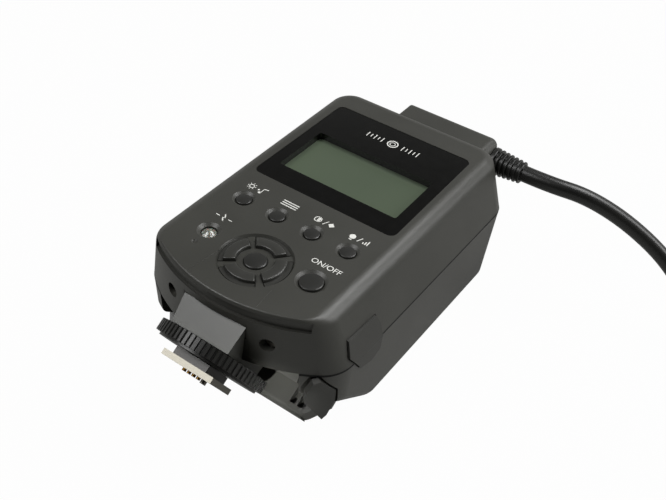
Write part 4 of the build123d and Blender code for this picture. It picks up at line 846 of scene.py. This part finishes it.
# %% Sign on the display panel
PANEL_SIGN_AT, PANEL_Z = (0.6, 37.6), 54.85
TICKS, TICK_PITCH, FIRST_TICK = 5, 1.5, 4.2
LONG_TICK, SHORT_TICK = 1.4, 0.9  # half lengths
ring_lamp = [ring_sign(2.1, 0.45), ring_sign(1.1, 0.3)]
for way in (-1, 1):
    for tick in range(TICKS):
        x = way * (FIRST_TICK + TICK_PITCH * tick)
        half = SHORT_TICK if tick % 2 else LONG_TICK
        ring_lamp.append(bar_sign(x, -half, x, half, 0.32))
print("parts of the panel's sign", len(ring_lamp))
print_sign("sign_ring_lamp", *PANEL_SIGN_AT, ring_lamp, z=PANEL_Z)

# %% [markdown]
# The floor and the background are pale and plain. For the camera the floor is mostly a white
# of its own, so that it stays even, and for the light that bounces it is a pale matt floor
# that keeps a faint shadow.

# %% Floor
FLOOR_SIDE, FLOOR_DROP = 6.0, 0.0002  # m: the drop keeps it from the part's own underside
GLOSSY_WHITE = 0.2  # how much of the white a reflection sees
CAMERA_WHITE = 0.98  # and how much the camera sees
bpy.ops.mesh.primitive_plane_add(size=FLOOR_SIDE, location=(0, 0, -FLOOR_DROP))
floor = bpy.context.object
floor.name = "floor"
pale, tree = new_finish("pale_floor")
seen = add(tree, "ShaderNodeLightPath").outputs
white = add(tree, "ShaderNodeEmission", {"Color": linear("#FFFFFF"), "Strength": 1.0})
matt = add(tree, "ShaderNodeBsdfDiffuse", {"Color": linear("#8C8C88")})
glossy = add(
    tree, "ShaderNodeMath", {"operation": "MAXIMUM"},
    {0: seen["Is Glossy Ray"], 1: seen["Is Transmission Ray"]},
)
dimmed = add(
    tree, "ShaderNodeMath", {"operation": "MULTIPLY", 1: GLOSSY_WHITE}, {0: glossy.outputs[0]}
)
direct = add(
    tree, "ShaderNodeMath", {"operation": "MULTIPLY", 1: CAMERA_WHITE},
    {0: seen["Is Camera Ray"]},
)
share = add(
    tree, "ShaderNodeMath", {"operation": "MAXIMUM"},
    {0: dimmed.outputs[0], 1: direct.outputs[0]},
)
blend = add(
    tree, "ShaderNodeMixShader",
    links={0: share.outputs[0], 1: matt.outputs[0], 2: white.outputs[0]},
)
finish_off(tree, blend)
floor.data.materials.append(pale)
print("floor", floor.name, pale.name)

# %% [markdown]
# Three soft boxes light the object, as in a studio with a dark ceiling. One stands in front,
# left and high, and shines in the satin foot. One stands low behind the right side, and draws
# the long highlight along the face's rounded edge. The third hangs over the object, behind it
# and off to the right, and lights the face without showing in it. A small lamp with a snoot
# shines into the recess beside the wheel.

# %% Lamps
# direction, centre, distance, width and height, all in metres, and watts
SOFT_BOXES = {
    "front_box": ((-0.443, -0.40, 0.80), (0, -0.05, 0.04), 0.9, 0.5, 0.4, 5.0),
    "side_box": ((0.733, 0.486, 0.423), (0.03, 0, 0.05), 0.9, 0.3, 0.6, 3.6),
    "top_box": ((0.30, 0.45, 0.84), (0.0, 0, 0.05), 1.0, 0.5, 0.5, 7.5),
}
SNOOT_WATTS, SNOOT_ANGLE, SNOOT_BLEND, SNOOT_BULB = 30.0, 2.4, 0.6, 0.01
SNOOT_WAY, SNOOT_DISTANCE = (0.30, -0.86, 0.41), 0.4
RECESS = at(16.5, -46.0, 16.0)


def aim(lamp, towards, centre, distance):
    """puts the lamp that far out from the centre, in that direction, and turns it back"""
    way = Vector(towards).normalized()
    stand = into_scene(lamp.name, lamp)
    stand.location = Vector(centre) + way * distance
    stand.rotation_mode = "QUATERNION"
    stand.rotation_quaternion = way.to_track_quat("Z", "Y")


for name, (towards, centre, distance, width, height, watts) in SOFT_BOXES.items():
    box = bpy.data.lights.new(name, "AREA")
    box.shape = "RECTANGLE"
    box.size = width
    box.size_y = height
    box.energy = watts
    aim(box, towards, centre, distance)
snoot = bpy.data.lights.new("recess_snoot", "SPOT")
snoot.energy = SNOOT_WATTS
snoot.spot_size = math.radians(SNOOT_ANGLE)
snoot.spot_blend = SNOOT_BLEND
snoot.shadow_soft_size = SNOOT_BULB
aim(snoot, SNOOT_WAY, RECESS, SNOOT_DISTANCE)
print("lamps", len(bpy.data.lights))

# %% [markdown]
# The world is pale near the horizon, where the backdrop is, and dims towards the ceiling, so
# that the black panel has something dark to mirror. It is darker on the side of the foot, where
# nothing stands in the studio, so that the end wall stays in shade. The camera itself sees
# plain white.

# %% World
HORIZON, CEILING = (0.75, 0.75, 0.73, 1.0), (0.08, 0.08, 0.08, 1.0)
HORIZON_ENDS, CEILING_STARTS = 0.1, 0.6  # as heights of the direction, 1 is straight up
FOOT_SIDE = {"From Min": -0.6, "From Max": 0.4, "To Min": 0.12, "To Max": 0.9}
world = bpy.data.worlds.new("soft_world")
bpy.context.scene.world = world
world.use_nodes = True
sky = world.node_tree
sky.nodes.clear()
direction = add(sky, "ShaderNodeTexCoord").outputs["Generated"]
axes = add(sky, "ShaderNodeSeparateXYZ", links={0: direction}).outputs
dome = add(sky, "ShaderNodeValToRGB", links={"Fac": axes["Z"]})
dome.color_ramp.elements[0].position = HORIZON_ENDS
dome.color_ramp.elements[0].color = HORIZON
dome.color_ramp.elements[1].position = CEILING_STARTS
dome.color_ramp.elements[1].color = CEILING
shade = add(sky, "ShaderNodeMapRange", FOOT_SIDE, {"Value": axes["Y"]})
shaded = add(
    sky, "ShaderNodeVectorMath", {"operation": "SCALE"},
    {0: dome.outputs[0], "Scale": shade.outputs[0]},
)
camera_ray = add(sky, "ShaderNodeLightPath").outputs["Is Camera Ray"]
dim = add(sky, "ShaderNodeBackground", {"Strength": 1.0}, {"Color": shaded.outputs[0]})
bright = add(
    sky, "ShaderNodeBackground", {"Color": (1.0, 1.0, 1.0, 1.0), "Strength": 1.0}
)
choice = add(
    sky, "ShaderNodeMixShader", links={0: camera_ray, 1: dim.outputs[0], 2: bright.outputs[0]}
)
add(sky, "ShaderNodeOutputWorld", links={"Surface": choice.outputs[0]})
print("world", world.name)
